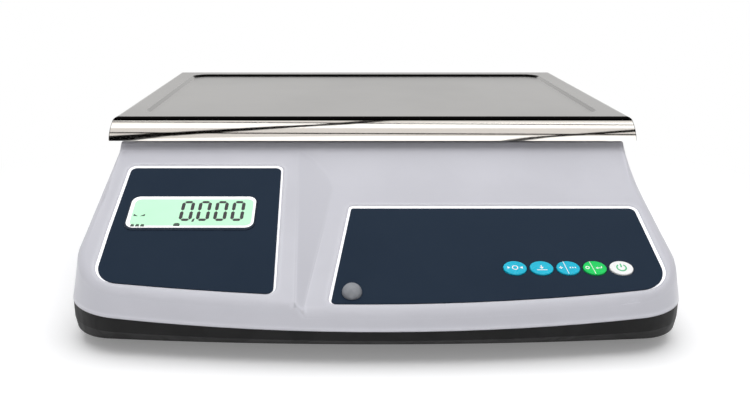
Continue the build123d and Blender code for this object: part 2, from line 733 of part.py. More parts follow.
with BuildPart() as load_cell:
    with Locations((0, platter_y, cell_bottom)):
        Box(cell_length, cell_width, cell_height, align=from_bottom)
    chamfer(load_cell.edges().filter_by(Axis.X), 1)
    with BuildSketch(Plane.XZ.offset(-platter_y - cell_width)):
        with Locations((0, cell_bottom + cell_height / 2)):
            with GridLocations(26, 1, 2, 1):
                Circle(8.2)
            Rectangle(26, 6)
    extrude(amount=2 * cell_width, mode=Mode.SUBTRACT)
    with Locations(*[(x, y, cell_bottom) for x, y in left_bolts]):
        Cylinder(cell_bolt_radius, 80, mode=Mode.SUBTRACT)
    with Locations(*[(x, y, cell_bottom) for x, y in right_bolts]):
        Cylinder(cell_bolt_radius + 0.1, 80, mode=Mode.SUBTRACT)
finish(load_cell.part, "load_cell")

with BuildPart(Plane.XY.offset(cell_top)) as load_cell_screws:
    with Locations(*left_bolts):
        Cylinder(5, 5, align=from_bottom)
        Cylinder(cell_bolt_radius, cell_height + spacer_height + 13, align=from_top)
        with Locations((0, 0, 5)):
            Cylinder(2.6, 3, align=from_top, mode=Mode.SUBTRACT)
finish(load_cell_screws.part, "load_cell_screws")

with BuildPart(Plane.XY.offset(cell_bottom - stop_gap)) as overload_stop:
    with Locations((column_x, platter_y)):
        Cylinder(stop_radius, 26, align=from_top)
    chamfer(overload_stop.edges().sort_by(Axis.Z)[-1], 1)
finish(overload_stop.part, "overload_stop")

with BuildPart() as stop_nut:
    with BuildSketch(Plane.XY.offset(stop_column_top)):
        with Locations((column_x, platter_y)):
            RegularPolygon(5.77, 6)
            Circle(stop_radius, mode=Mode.SUBTRACT)
    extrude(amount=5)
finish(stop_nut.part, "stop_nut")

with BuildPart(Plane.XY.offset(deck_height)) as dust_seal:
    with Locations((column_x, platter_y)):
        Cylinder(deck_hole_radius + 4, 1.5, align=from_bottom)
        Cylinder(deck_hole_radius, 3.5, align=from_top)
        Cylinder(seal_radius, 20, mode=Mode.SUBTRACT)
finish(dust_seal.part, "dust_seal")

# Cable from the load cell to the main board
with BuildPart() as load_cell_cable:
    with BuildLine() as cable_line:
        FilletPolyline(*cable_points, radius=14)
    with BuildSketch(Plane(origin=cable_line.line @ 0, z_dir=cable_line.line % 0)):
        Circle(cable_radius)
    sweep()
finish(load_cell_cable.part, "load_cell_cable")

# Load carrier: hub block on the free end of the cell and four ribbed arms
bumper_points = [(x, platter_y + y) for x in (-bumper_x, bumper_x) for y in (-bumper_dy, bumper_dy)]
with BuildPart(Plane.XY.offset(cell_top)) as carrier_spacer:
    with Locations((column_x, platter_y)):
        Box(28, cell_width, spacer_height, align=from_bottom)
    with Locations(*right_bolts):
        Cylinder(cell_bolt_radius + 0.3, 30, mode=Mode.SUBTRACT)
finish(carrier_spacer.part, "carrier_spacer")

with BuildPart() as load_carrier:
    with BuildSketch(Plane.XY.offset(carrier_plate_bottom)) as carrier_outline:
        for x, y in bumper_points:
            with BuildSketch(mode=Mode.PRIVATE) as arm:
                with Locations((0.28 * x, platter_y + 0.28 * (y - platter_y))):
                    Circle(22)
                with Locations((x, y)):
                    Circle(13)
                make_hull()
            add(arm.sketch)
        with Locations((0, platter_y)):
            RectangleRounded(160, 62, 12)
            with Locations((-28, 0)):
                RectangleRounded(60, 24, 8, mode=Mode.SUBTRACT)
    extrude(amount=carrier_plate_top - carrier_plate_bottom)
    with BuildSketch(Plane.XY.offset(carrier_rib_bottom)):
        add(carrier_outline.sketch)
        offset(amount=-3.5, mode=Mode.SUBTRACT)
    extrude(amount=carrier_plate_bottom - carrier_rib_bottom)
    with BuildSketch(Plane.XY.offset(cell_top + spacer_height)):
        with Locations((column_x, platter_y)):
            RectangleRounded(column_size, column_size, 4)
    extrude(amount=carrier_plate_top - cell_top - spacer_height)
    with Locations(*[(x, y, carrier_plate_bottom) for x, y in bumper_points]):
        Cylinder(bumper_spigot, 30, mode=Mode.SUBTRACT)
    with Locations(*[(x, y, carrier_plate_top) for x, y in right_bolts]):
        Cylinder(cell_bolt_radius + 0.3, 80, mode=Mode.SUBTRACT)
        Cylinder(5.4, 12, mode=Mode.SUBTRACT)
finish(load_carrier.part, "load_carrier")

with BuildPart(Plane.XY.offset(carrier_plate_top - 6)) as carrier_screws:
    with Locations(*right_bolts):
        Cylinder(5, 5, align=from_bottom)
        Cylinder(cell_bolt_radius, carrier_plate_top - 6 - cell_top + 16, align=from_top)
        with Locations((0, 0, 5)):
            Cylinder(2.6, 3, align=from_top, mode=Mode.SUBTRACT)
finish(carrier_screws.part, "carrier_screws")

bumper_top = platter_top - pan_depth - sheet
with BuildPart(Plane.XY.offset(carrier_plate_top)) as platter_bumpers:
    with Locations(*bumper_points):
        Cylinder(bumper_radius, bumper_top - carrier_plate_top, align=from_bottom)
        Cylinder(bumper_spigot, 5.5, align=from_top)
        with Locations((0, 0, bumper_top - carrier_plate_top)):
            Cylinder(pin_radius + 0.2, bumper_top - pin_tip + 0.5, align=from_top, mode=Mode.SUBTRACT)
finish(platter_bumpers.part, "platter_bumpers")

# Platter: pressed pan, four rolled flanges mitred at the corners, locating pins below
def flange(length):
    lean = 90 - bend_angle
    turn = flange_end_angle - bend_angle
    shift = bend_radius - flange_radius
    bend_centre = Vector(0, -bend_radius)
    roll_centre = bend_centre + Vector(shift, 0).rotate(Axis.Z, lean)
    with BuildPart() as strip:
        with BuildSketch(Plane.XZ.offset(-length)):
            with BuildLine():
                outer_bend = CenterArc(bend_centre, bend_radius, 90, -bend_angle)
                outer_roll = CenterArc(roll_centre, flange_radius, lean, -turn)
                inner_bend = CenterArc(bend_centre, bend_radius - sheet, 90, -bend_angle)
                inner_roll = CenterArc(roll_centre, flange_radius - sheet, lean, -turn)
                Line(outer_roll @ 1, inner_roll @ 1)
                Polyline(outer_bend @ 0, (-3, 0), (-3, -sheet), inner_bend @ 0)
            make_face()
        extrude(amount=2 * length)
        with BuildSketch(Plane.XY.offset(-40)):
            with BuildLine():
                half = length / 2 - mitre_gap
                Polyline((-3, half - 3), (20, half + 20), (20, -half - 20), (-3, 3 - half), close=True)
            make_face()
        extrude(amount=80, mode=Mode.INTERSECT)
    return strip.part


front_flange = flange(platter_width)
side_flange = flange(platter_depth)
pan_size = (platter_width - 2 * pan_border, platter_depth - 2 * pan_border)
with BuildPart() as platter:
    with BuildSketch(Plane.XY.offset(platter_top - sheet)):
        with Locations((0, platter_y)):
            Rectangle(platter_width - 2 * mitre_gap, platter_depth - 2 * mitre_gap)
    extrude(amount=sheet)
    with BuildSketch(Plane.XY.offset(platter_top - pan_depth - sheet)):
        with Locations((0, platter_y)):
            RectangleRounded(pan_size[0], pan_size[1], pan_corner)
    extrude(amount=pan_depth, taper=-45)
    with BuildSketch(Plane.XY.offset(platter_top - pan_depth)):
        with Locations((0, platter_y)):
            RectangleRounded(pan_size[0] - 1, pan_size[1] - 1, pan_corner - 0.5)
    extrude(amount=pan_depth + 1, taper=-45, mode=Mode.SUBTRACT)
    edge_x, edge_y = platter_width / 2, platter_depth / 2
    for turn, x, y, strip in ((0, edge_x, platter_y, side_flange), (180, -edge_x, platter_y, side_flange),
                              (90, 0, platter_y + edge_y, front_flange), (-90, 0, platter_y - edge_y, front_flange)):
        with Locations(Location((x, y, platter_top), (0, 0, turn))):
            add(strip)
finish(platter.part, "platter")

with BuildPart(Plane.XY.offset(bumper_top)) as platter_pins:
    with Locations(*bumper_points):
        Cylinder(pin_radius, bumper_top - pin_tip, align=from_top)
    chamfer(platter_pins.faces().group_by(Axis.Z)[0].edges(), 0.8)
finish(platter_pins.part, "platter_pins")

# Levelling feet: brass inserts in the tray, threaded studs with a thumb wheel, rubber pads
with BuildPart(Plane.XY.offset(insert_bottom)) as foot_inserts:
    with Locations(*foot_points):
        Cylinder(insert_radius, insert_top - insert_bottom, align=from_bottom)
        Cylinder(stud_radius + thread_gap, 60, mode=Mode.SUBTRACT)
finish(foot_inserts.part, "foot_inserts")

wheel_bottom = foot_pad_height + 0.1
wheel_height = 2.2
foot_socket = 7.0
for name, (x, y) in zip(foot_names, foot_points):
    with BuildPart(Plane(origin=(x, y, 0))) as foot_pad:
        Cone(foot_radius - 1, foot_radius, foot_pad_height, align=from_bottom)
        fillet(foot_pad.faces().sort_by(Axis.Z)[0].edges(), 0.8)
        with Locations((0, 0, foot_pad_height)):
            Cylinder(foot_socket + thread_gap, foot_pad_height - 2, align=from_top, mode=Mode.SUBTRACT)
    finish(foot_pad.part, f"foot_pad_{name}")
    with BuildPart(Plane(origin=(x, y, 2.05))) as foot_stud:
        Cylinder(foot_socket, wheel_bottom - 2.05, align=from_bottom)
        with Locations((0, 0, wheel_bottom - 2.05)):
            Cylinder(foot_radius - 2, wheel_height, align=from_bottom)
            with PolarLocations(foot_radius - 2, 24):
                Cylinder(0.6, wheel_height, align=from_bottom, mode=Mode.SUBTRACT)
        Cylinder(stud_radius, stud_top - 2.05, align=from_bottom)
        chamfer(foot_stud.faces().sort_by(Axis.Z)[-1].edges(), 0.7)
    finish(foot_stud.part, f"foot_stud_{name}")
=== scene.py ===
import bpy
import bmesh
from math import cos, radians, sin, sqrt
from mathutils import Matrix, Vector


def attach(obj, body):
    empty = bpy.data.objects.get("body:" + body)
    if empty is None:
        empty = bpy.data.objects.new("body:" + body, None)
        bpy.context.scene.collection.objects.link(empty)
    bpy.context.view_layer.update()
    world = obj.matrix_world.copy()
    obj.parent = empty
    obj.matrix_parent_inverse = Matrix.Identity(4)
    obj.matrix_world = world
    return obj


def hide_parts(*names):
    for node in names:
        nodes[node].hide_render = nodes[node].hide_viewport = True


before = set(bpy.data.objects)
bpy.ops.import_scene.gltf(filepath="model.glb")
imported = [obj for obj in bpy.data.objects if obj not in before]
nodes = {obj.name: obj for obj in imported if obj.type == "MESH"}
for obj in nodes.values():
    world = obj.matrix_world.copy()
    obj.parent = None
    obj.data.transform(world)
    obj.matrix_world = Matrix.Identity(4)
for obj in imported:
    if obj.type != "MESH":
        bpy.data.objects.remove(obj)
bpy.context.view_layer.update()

# Camera, at the photograph's place
cameraView = {
    "place": (-0.0178, -0.610, 0.2227),
    "pitchDown": 16.73,
    "lens": 39.1,
    "shiftX": 0.0376,
}


def placeCamera():
    data = bpy.data.cameras.new("counterView")
    data.lens = cameraView["lens"]
    data.sensor_width = 36.0
    data.shift_x = cameraView["shiftX"]
    camera = bpy.data.objects.new("counterView", data)
    camera.location = cameraView["place"]
    camera.rotation_euler = (radians(90 - cameraView["pitchDown"]), 0, 0)
    bpy.context.scene.collection.objects.link(camera)
    bpy.context.scene.camera = camera


placeCamera()
bpy.context.scene.view_settings.view_transform = "Standard"
print("camera placed")

# Small helpers for shader trees


def freshTree(name):
    material = bpy.data.materials.new(name)
    material.use_nodes = True
    material.node_tree.nodes.clear()
    return material, material.node_tree


def put(tree, kind, links=None, **values):
    made = tree.nodes.new("ShaderNode" + kind)
    for key, value in values.items():
        if hasattr(made, key):
            setattr(made, key, value)
        else:
            made.inputs[key.replace("_", " ")].default_value = value
    for socket, source in (links or {}).items():
        tree.links.new(source, made.inputs[socket])
    return made


def maths(tree, operation, *terms, clamp=False):
    made = tree.nodes.new("ShaderNodeMath")
    made.operation = operation
    made.use_clamp = clamp
    for slot, term in enumerate(terms):
        if isinstance(term, (int, float)):
            made.inputs[slot].default_value = term
        else:
            tree.links.new(term, made.inputs[slot])
    return made.outputs[0]


def ramp(tree, source, low, high, fromLow=0.0, fromHigh=1.0):
    made = put(tree, "MapRange", {"Value": source}, interpolation_type="SMOOTHSTEP")
    for socket, value in (("From Min", fromLow), ("From Max", fromHigh), ("To Min", low), ("To Max", high)):
        made.inputs[socket].default_value = value
    return made.outputs["Result"]


def blendColour(tree, factor, first, second):
    made = put(tree, "Mix", data_type="RGBA")
    sockets = {"A": made.inputs[6], "B": made.inputs[7], "Factor": made.inputs[0]}
    for key, value in (("A", first), ("B", second), ("Factor", factor)):
        if hasattr(value, "is_output"):
            tree.links.new(value, sockets[key])
        else:
            sockets[key].default_value = value
    return made.outputs[2]


def srgb(red, green, blue):
    def linear(v):
        v = v / 255
        return v / 12.92 if v <= 0.04045 else ((v + 0.055) / 1.055) ** 2.4

    return (linear(red), linear(green), linear(blue), 1.0)


def scaled(colour, amount):
    return (colour[0] * amount, colour[1] * amount, colour[2] * amount, 1.0)


# Shared effects: one node group each, with named inputs and outputs


def newGroup(name, inputs, outputs):
    group = bpy.data.node_groups.new(name, "ShaderNodeTree")
    for label, kind, value in inputs:
        socket = group.interface.new_socket(label, in_out="INPUT", socket_type="NodeSocket" + kind)
        if value is not None:
            socket.default_value = value
    for label, kind in outputs:
        group.interface.new_socket(label, in_out="OUTPUT", socket_type="NodeSocket" + kind)
    return group, group.nodes.new("NodeGroupInput"), group.nodes.new("NodeGroupOutput")


def buildMouldGrain():  # spark-eroded grain of moulded plastic, with slow unevenness under it
    group, given, out = newGroup(
        "mouldGrain",
        [("Scale", "Float", 1400.0), ("Depth", "Float", 0.00002), ("Waviness", "Float", 0.00004),
         ("Rounding", "Float", 0.0004)],
        [("Normal", "Vector"), ("Mask", "Float")],
    )
    spot = put(group, "TexCoord").outputs["Object"]
    fine = put(group, "TexNoise", {"Vector": spot, "Scale": given.outputs["Scale"]}, Detail=3.0, Roughness=0.6)
    slow = put(group, "TexNoise", {"Vector": spot}, Scale=9.0, Detail=1.0)
    rounded = put(group, "Bevel", {"Radius": given.outputs["Rounding"]}, samples=4)
    near = put(group, "Bump", {"Height": fine.outputs["Fac"], "Distance": given.outputs["Depth"],
                               "Normal": rounded.outputs["Normal"]}, Strength=1.0)
    far = put(group, "Bump", {"Height": slow.outputs["Fac"], "Distance": given.outputs["Waviness"],
                              "Normal": near.outputs["Normal"]}, Strength=1.0)
    group.links.new(far.outputs["Normal"], out.inputs["Normal"])
    group.links.new(fine.outputs["Fac"], out.inputs["Mask"])
    return group


def buildToneDrift():  # slow drift between two tones of one colour, with a trace of handling marks
    group, given, out = newGroup(
        "toneDrift",
        [("Tone A", "Color", (0.5, 0.5, 0.5, 1)), ("Tone B", "Color", (0.5, 0.5, 0.5, 1)),
         ("Scale", "Float", 14.0), ("Roughness Low", "Float", 0.3), ("Roughness High", "Float", 0.4)],
        [("Color", "Color"), ("Roughness", "Float")],
    )
    spot = put(group, "TexCoord").outputs["Object"]
    cloud = put(group, "TexNoise", {"Vector": spot, "Scale": given.outputs["Scale"]}, Detail=4.0, Roughness=0.55)
    mask = ramp(group, cloud.outputs["Fac"], 0.0, 1.0, 0.35, 0.65)
    colour = blendColour(group, mask, given.outputs["Tone A"], given.outputs["Tone B"])
    marks = put(group, "TexNoise", {"Vector": spot}, Scale=55.0, Detail=6.0, Distortion=1.2)
    markMask = ramp(group, marks.outputs["Fac"], 0.0, 1.0, 0.42, 0.62)
    span = maths(group, "SUBTRACT", given.outputs["Roughness High"], given.outputs["Roughness Low"])
    shine = maths(group, "MULTIPLY_ADD", span, markMask, given.outputs["Roughness Low"])
    group.links.new(colour, out.inputs["Color"])
    group.links.new(shine, out.inputs["Roughness"])
    return group


def buildEdgeWear():  # where corners are rubbed: a mask from the difference of a rounded normal
    group, given, out = newGroup(
        "edgeWear",
        [("Radius", "Float", 0.0006), ("Amount", "Float", 1.0)],
        [("Mask", "Float")],
    )
    rounded = put(group, "Bevel", {"Radius": given.outputs["Radius"]}, samples=4)
    true = put(group, "NewGeometry").outputs["Normal"]
    alike = put(group, "VectorMath", operation="DOT_PRODUCT")
    group.links.new(rounded.outputs["Normal"], alike.inputs[0])
    group.links.new(true, alike.inputs[1])
    edge = ramp(group, alike.outputs["Value"], 1.0, 0.0, 0.80, 0.995)
    patch = put(group, "TexNoise", {"Vector": put(group, "TexCoord").outputs["Object"]}, Scale=220.0, Detail=3.0)
    broken = ramp(group, patch.outputs["Fac"], 0.25, 1.0, 0.35, 0.6)
    worn = maths(group, "MULTIPLY", maths(group, "MULTIPLY", edge, broken), given.outputs["Amount"], clamp=True)
    group.links.new(worn, out.inputs["Mask"])
    return group


def buildBrushedLines():  # fine parallel scratches along X, for sheet steel
    group, given, out = newGroup(
        "brushedLines",
        [("Scale", "Float", 900.0), ("Depth", "Float", 0.000004)],
        [("Normal", "Vector"), ("Mask", "Float")],
    )
    spot = put(group, "TexCoord").outputs["Object"]
    drawn = put(group, "Mapping", {"Vector": spot}, Scale=(0.03, 1.0, 1.0))
    lines = put(group, "TexNoise", {"Vector": drawn.outputs["Vector"], "Scale": given.outputs["Scale"]}, Detail=3.0)
    bump = put(group, "Bump", {"Height": lines.outputs["Fac"], "Distance": given.outputs["Depth"]}, Strength=1.0)
    group.links.new(bump.outputs["Normal"], out.inputs["Normal"])
    group.links.new(lines.outputs["Fac"], out.inputs["Mask"])
    return group


mouldGrain = buildMouldGrain()
toneDrift = buildToneDrift()
edgeWear = buildEdgeWear()
brushedLines = buildBrushedLines()


def place(tree, group, links=None, **values):
    made = tree.nodes.new("ShaderNodeGroup")
    made.node_tree = group
    for key, value in values.items():
        made.inputs[key.replace("_", " ")].default_value = value
    for socket, source in (links or {}).items():
        tree.links.new(source, made.inputs[socket])
    return made


def surface(tree, links, **values):
    shader = put(tree, "BsdfPrincipled", links, **values)
    put(tree, "OutputMaterial", {"Surface": shader.outputs["BSDF"]})


# Moulded plastics, rubber and foam: one recipe, with each finish in its own dictionary
plastics = {
    "trayBlack": {
        "tones": (srgb(14, 14, 15), srgb(10, 10, 11)), "rough": (0.5, 0.6), "sheen": 0.22,
        "grain": (1100.0, 0.000022), "wave": 0.00003, "wear": 0.25, "wornTone": srgb(80, 80, 82),
    },
    "partBlack": {
        "tones": (srgb(30, 30, 32), srgb(24, 24, 26)), "rough": (0.38, 0.5), "sheen": 0.4,
        "grain": (1300.0, 0.00002), "wave": 0.00003, "wear": 0.3, "wornTone": srgb(70, 70, 72),
    },
    "partWhite": {
        "tones": (srgb(232, 232, 228), srgb(224, 224, 220)), "rough": (0.35, 0.45), "sheen": 0.5,
        "grain": (1300.0, 0.000015), "wave": 0.00003, "wear": 0.2, "wornTone": srgb(245, 245, 243),
    },
    "rubberBlack": {
        "tones": (srgb(26, 26, 27), srgb(38, 37, 37)), "rough": (0.68, 0.85), "sheen": 0.3,
        "grain": (700.0, 0.00005), "wave": 0.00005, "wear": 0.5, "wornTone": srgb(70, 69, 68),
    },
    "foamGrey": {
        "tones": (srgb(52, 52, 54), srgb(70, 70, 72)), "rough": (0.85, 0.95), "sheen": 0.2,
        "grain": (500.0, 0.0003), "wave": 0.0002, "wear": 0.3, "wornTone": srgb(96, 96, 98),
    },
    "cableGrey": {
        "tones": (srgb(92, 94, 98), srgb(84, 86, 90)), "rough": (0.45, 0.6), "sheen": 0.4,
        "grain": (900.0, 0.00002), "wave": 0.00004, "wear": 0.2, "wornTone": srgb(120, 122, 126),
    },
    "batteryCase": {
        "tones": (srgb(52, 56, 62), srgb(44, 48, 54)), "rough": (0.35, 0.5), "sheen": 0.4,
        "grain": (900.0, 0.00003), "wave": 0.00006, "wear": 0.35, "wornTone": srgb(90, 94, 100),
    },
}


def mouldedFinish(name):
    look = plastics[name]
    material, tree = freshTree(name)
    grain = place(tree, mouldGrain, Scale=look["grain"][0], Depth=look["grain"][1], Waviness=look["wave"])
    drift = place(tree, toneDrift, Tone_A=look["tones"][0], Tone_B=look["tones"][1],
                  Roughness_Low=look["rough"][0], Roughness_High=look["rough"][1])
    wear = place(tree, edgeWear, Radius=0.0007, Amount=look["wear"])
    colour = blendColour(tree, wear.outputs["Mask"], drift.outputs["Color"], look["wornTone"])
    surface(tree, {"Base Color": colour, "Roughness": drift.outputs["Roughness"],
                   "Normal": grain.outputs["Normal"]}, IOR=1.52, Specular_IOR_Level=look["sheen"])
    return material


# Metals: steel screws, cast and machined aluminium, brass
metals = {
    "screwSteel": {"tones": (srgb(190, 188, 182), srgb(168, 167, 163)), "rough": (0.22, 0.38),
                   "lines": (1400.0, 0.000006), "worn": srgb(214, 212, 208)},
    "castAluminium": {"tones": (srgb(176, 178, 180), srgb(160, 162, 165)), "rough": (0.5, 0.66),
                      "lines": (420.0, 0.00005), "worn": srgb(206, 208, 210)},
    "cellAluminium": {"tones": (srgb(200, 202, 205), srgb(188, 190, 193)), "rough": (0.28, 0.4),
                      "lines": (1200.0, 0.000008), "worn": srgb(226, 228, 230)},
    "brass": {"tones": (srgb(196, 160, 92), srgb(178, 142, 76)), "rough": (0.25, 0.4),
              "lines": (1200.0, 0.00001), "worn": srgb(220, 190, 124)},
}


def metalFinish(name):
    look = metals[name]
    material, tree = freshTree(name)
    lines = place(tree, brushedLines, Scale=look["lines"][0], Depth=look["lines"][1])
    drift = place(tree, toneDrift, Tone_A=look["tones"][0], Tone_B=look["tones"][1], Scale=40.0,
                  Roughness_Low=look["rough"][0], Roughness_High=look["rough"][1])
    wear = place(tree, edgeWear, Radius=0.0005, Amount=0.7)
    colour = blendColour(tree, wear.outputs["Mask"], drift.outputs["Color"], look["worn"])
    surface(tree, {"Base Color": colour, "Roughness": drift.outputs["Roughness"],
                   "Normal": lines.outputs["Normal"]}, Metallic=1.0)
    return material


# Platter: satin pan, polished bends and flanges, with painted dark reflection where the bends turn away from the
# light and painted shade on the side bends
platterLook = {
    "steel": (srgb(200, 199, 198), srgb(193, 192, 191)),
    "flangeSteel": srgb(240, 237, 233),
    # painted dark reflection: the near-black tone laid on the front and back bends
    "bendDarkReflection": srgb(22, 21, 21),
    # painted shade: the greyer tone laid on the side bends
    "sideShadeTone": srgb(174, 173, 172),
    "panRough": 0.36,
    "panUneven": 0.03,
    "lineRough": 0.02,
    "flangeRough": 0.05,
    # spans of the normal over which each tone comes in
    "flatUp": (0.985, 0.999),
    "bendUp": (0.44, 0.52),
    "bendLengthwise": (0.05, 0.2),
    "bendAtSides": 0.25,
    "sideAcross": (0.05, 0.2),
    "sideUp": (0.30, 0.45),
}


def platterFinish():
    look = platterLook
    material, tree = freshTree("platterSteel")
    lines = place(tree, brushedLines, Scale=1500.0, Depth=0.0000015)
    facing = put(tree, "SeparateXYZ", {"Vector": put(tree, "NewGeometry").outputs["Normal"]})
    up = facing.outputs["Z"]
    flat = ramp(tree, up, 0.0, 1.0, *look["flatUp"])
    drift = place(tree, toneDrift, Tone_A=look["steel"][0], Tone_B=look["steel"][1], Scale=7.0,
                  Roughness_Low=look["panRough"] - look["panUneven"],
                  Roughness_High=look["panRough"] + look["panUneven"])
    # painted dark reflection on the steep bends, strongest along the front and back
    bendReflectionMask = maths(tree, "MULTIPLY", ramp(tree, up, 0.0, 1.0, *look["bendUp"]), maths(tree, "SUBTRACT", 1.0, flat))
    lengthwise = maths(tree, "ABSOLUTE", facing.outputs["Y"])
    bendReflectionMask = maths(tree, "MULTIPLY", bendReflectionMask, ramp(tree, lengthwise, look["bendAtSides"], 1.0, *look["bendLengthwise"]))
    across = maths(tree, "ABSOLUTE", facing.outputs["X"])
    # painted shade on the bends that face the sides
    sideways = maths(tree, "MULTIPLY", ramp(tree, across, 0.0, 1.0, *look["sideAcross"]),
                     ramp(tree, up, 0.0, 1.0, *look["sideUp"]))
    steel = blendColour(tree, flat, look["flangeSteel"], drift.outputs["Color"])
    steel = blendColour(tree, sideways, steel, look["sideShadeTone"])
    colour = blendColour(tree, bendReflectionMask, steel, look["bendDarkReflection"])
    shine = maths(tree, "MULTIPLY_ADD", flat, look["panRough"] - look["flangeRough"], look["flangeRough"])
    spread = maths(tree, "MULTIPLY_ADD", lines.outputs["Mask"], look["lineRough"], shine)
    surface(tree, {"Base Color": colour, "Roughness": spread, "Normal": lines.outputs["Normal"]}, Metallic=1.0)
    return material


# Printed film on both fascias: navy, with a fine texture under a satin coat
filmLook = {"navy": (srgb(33, 46, 62), srgb(35, 48, 64)), "rough": (0.30, 0.38), "sheen": 0.10}


def filmFinish():
    material, tree = freshTree("fasciaFilm")
    grain = place(tree, mouldGrain, Scale=2600.0, Depth=0.000006, Waviness=0.00002)
    drift = place(tree, toneDrift, Tone_A=filmLook["navy"][0], Tone_B=filmLook["navy"][1], Scale=10.0,
                  Roughness_Low=filmLook["rough"][0], Roughness_High=filmLook["rough"][1])
    surface(tree, {"Base Color": drift.outputs["Color"], "Roughness": drift.outputs["Roughness"],
                   "Normal": grain.outputs["Normal"]}, IOR=1.45, Specular_IOR_Level=filmLook["sheen"])
    return material


# Fascia coordinates: across, up the slope and out of it, from each pivot line
fascia = {
    "pivotY": -0.185,
    "display": {"pivotZ": 0.039, "slope": 0.45},
    "keypad": {"pivotZ": 0.0355, "slope": 0.42},
    "recess": 0.002,
    "film": 0.0006,
}
window = {
    "centre": (-0.1165, 0.0768),
    "size": (0.0818, 0.0318),
    "thickness": 0.0012,
    "edgeCorner": 0.0054,
    "ringCorner": 0.0042,
    "blur": 0.00015,
    "mintGlow": 0.26,
    "whiteGlow": 0.42,
    "edge": {"top": 0.0002, "bottom": 0.0018, "left": 0.0008, "right": 0.0008},
    "ring": {"top": 0.0028, "bottom": 0.0034, "left": 0.0031, "right": 0.0022},
    "mint": (srgb(190, 240, 205), srgb(185, 235, 200)),
    "white": srgb(255, 255, 255),
}


def fasciaMatrix(side, height=0.0):
    slope = fascia[side]["slope"]
    length = sqrt(1 + slope**2)
    across = Vector((1, 0, 0))
    along = Vector((0, 1 / length, slope / length))
    out = Vector((0, -slope / length, 1 / length))
    origin = Vector((0, fascia["pivotY"], fascia[side]["pivotZ"])) + out * height
    return Matrix.Translation(origin) @ Matrix((across, along, out)).transposed().to_4x4()


def fasciaCoordinates(tree, side):
    turned = fasciaMatrix(side).inverted()
    spot = put(tree, "TexCoord").outputs["Object"]
    measured = []
    for axis in range(3):
        dot = put(tree, "VectorMath", {0: spot}, operation="DOT_PRODUCT")
        dot.inputs[1].default_value = turned[axis][:3]
        measured.append(maths(tree, "ADD", dot.outputs["Value"], turned[axis][3]))
    return measured


def insetMask(tree, across, up, inset, corner):  # beyond the window's outline, moved in on each side
    halfX = (window["size"][0] - inset["left"] - inset["right"]) / 2
    halfY = (window["size"][1] - inset["top"] - inset["bottom"]) / 2
    middleX = window["centre"][0] + (inset["left"] - inset["right"]) / 2
    middleY = window["centre"][1] + (inset["bottom"] - inset["top"]) / 2
    overs = []
    for value, middle, half in ((across, middleX, halfX), (up, middleY, halfY)):
        away = maths(tree, "ABSOLUTE", maths(tree, "SUBTRACT", value, middle))
        over = maths(tree, "MAXIMUM", maths(tree, "SUBTRACT", away, half - corner), 0.0)
        overs.append(maths(tree, "MULTIPLY", over, over))
    reach = maths(tree, "SQRT", maths(tree, "ADD", *overs))
    return ramp(tree, reach, 0.0, 1.0, corner - window["blur"], corner + window["blur"])


def windowFinish():  # navy edge and white printed border round the lit reflector
    material, tree = freshTree("displayLens")
    across, up = fasciaCoordinates(tree, "display")[:2]
    edge = insetMask(tree, across, up, window["edge"], window["edgeCorner"])
    border = insetMask(tree, across, up, window["ring"], window["ringCorner"])
    drift = place(tree, toneDrift, Tone_A=window["mint"][0], Tone_B=window["mint"][1], Scale=30.0,
                  Roughness_Low=0.18, Roughness_High=0.24)
    grid = put(tree, "TexBrick", {"Vector": put(tree, "TexCoord").outputs["Object"]}, Scale=900.0,
               Color1=(1, 1, 1, 1), Color2=(1, 1, 1, 1), Mortar=(0.97, 0.985, 0.975, 1))
    lit = put(tree, "Mix", data_type="RGBA", blend_type="MULTIPLY")
    lit.inputs[0].default_value = 1.0
    tree.links.new(drift.outputs["Color"], lit.inputs[6])
    tree.links.new(grid.outputs["Color"], lit.inputs[7])
    colour = blendColour(tree, border, lit.outputs[2], window["white"])
    colour = blendColour(tree, edge, colour, filmLook["navy"][0])
    glow = blendColour(tree, border, scaled(window["mint"][0], window["mintGlow"]),
                       scaled(window["white"], window["whiteGlow"]))
    glow = blendColour(tree, edge, glow, (0, 0, 0, 1))
    surface(tree, {"Base Color": colour, "Emission Color": glow, "Roughness": drift.outputs["Roughness"]},
            IOR=1.49, Emission_Strength=1.0)
    return material


# Key caps: coloured silicone-like caps with a smooth top
keyCaps = {
    "key_zero": srgb(0, 190, 222),
    "key_tare": srgb(0, 190, 222),
    "key_function": srgb(0, 190, 222),
    "key_enter": srgb(0, 214, 98),
    "key_power": srgb(255, 255, 255),
}


def keyFinish(name, colour):
    material, tree = freshTree(name)
    grain = place(tree, mouldGrain, Scale=3000.0, Depth=0.000004, Waviness=0.00001)
    drift = place(tree, toneDrift, Tone_A=colour, Tone_B=scaled(colour, 0.94), Scale=60.0,
                  Roughness_Low=0.24, Roughness_High=0.32)
    surface(tree, {"Base Color": drift.outputs["Color"], "Roughness": drift.outputs["Roughness"],
                   "Normal": grain.outputs["Normal"]}, IOR=1.5)
    return material


def lensFinish():  # satin grey level dome
    material, tree = freshTree("levelDome")
    grain = place(tree, mouldGrain, Scale=1800.0, Depth=0.000012, Waviness=0.0)
    drift = place(tree, toneDrift, Tone_A=srgb(148, 151, 156), Tone_B=srgb(137, 140, 145), Scale=260.0,
                  Roughness_Low=0.40, Roughness_High=0.52)
    surface(tree, {"Base Color": drift.outputs["Color"], "Roughness": drift.outputs["Roughness"],
                   "Normal": grain.outputs["Normal"]}, IOR=1.5)
    return material


def fluidFinish():
    material, tree = freshTree("levelFluid")
    drift = place(tree, toneDrift, Tone_A=srgb(178, 224, 92), Tone_B=srgb(166, 214, 84), Scale=200.0,
                  Roughness_Low=0.05, Roughness_High=0.09)
    surface(tree, {"Base Color": drift.outputs["Color"], "Roughness": drift.outputs["Roughness"]},
            IOR=1.36, Transmission_Weight=0.7)
    return material


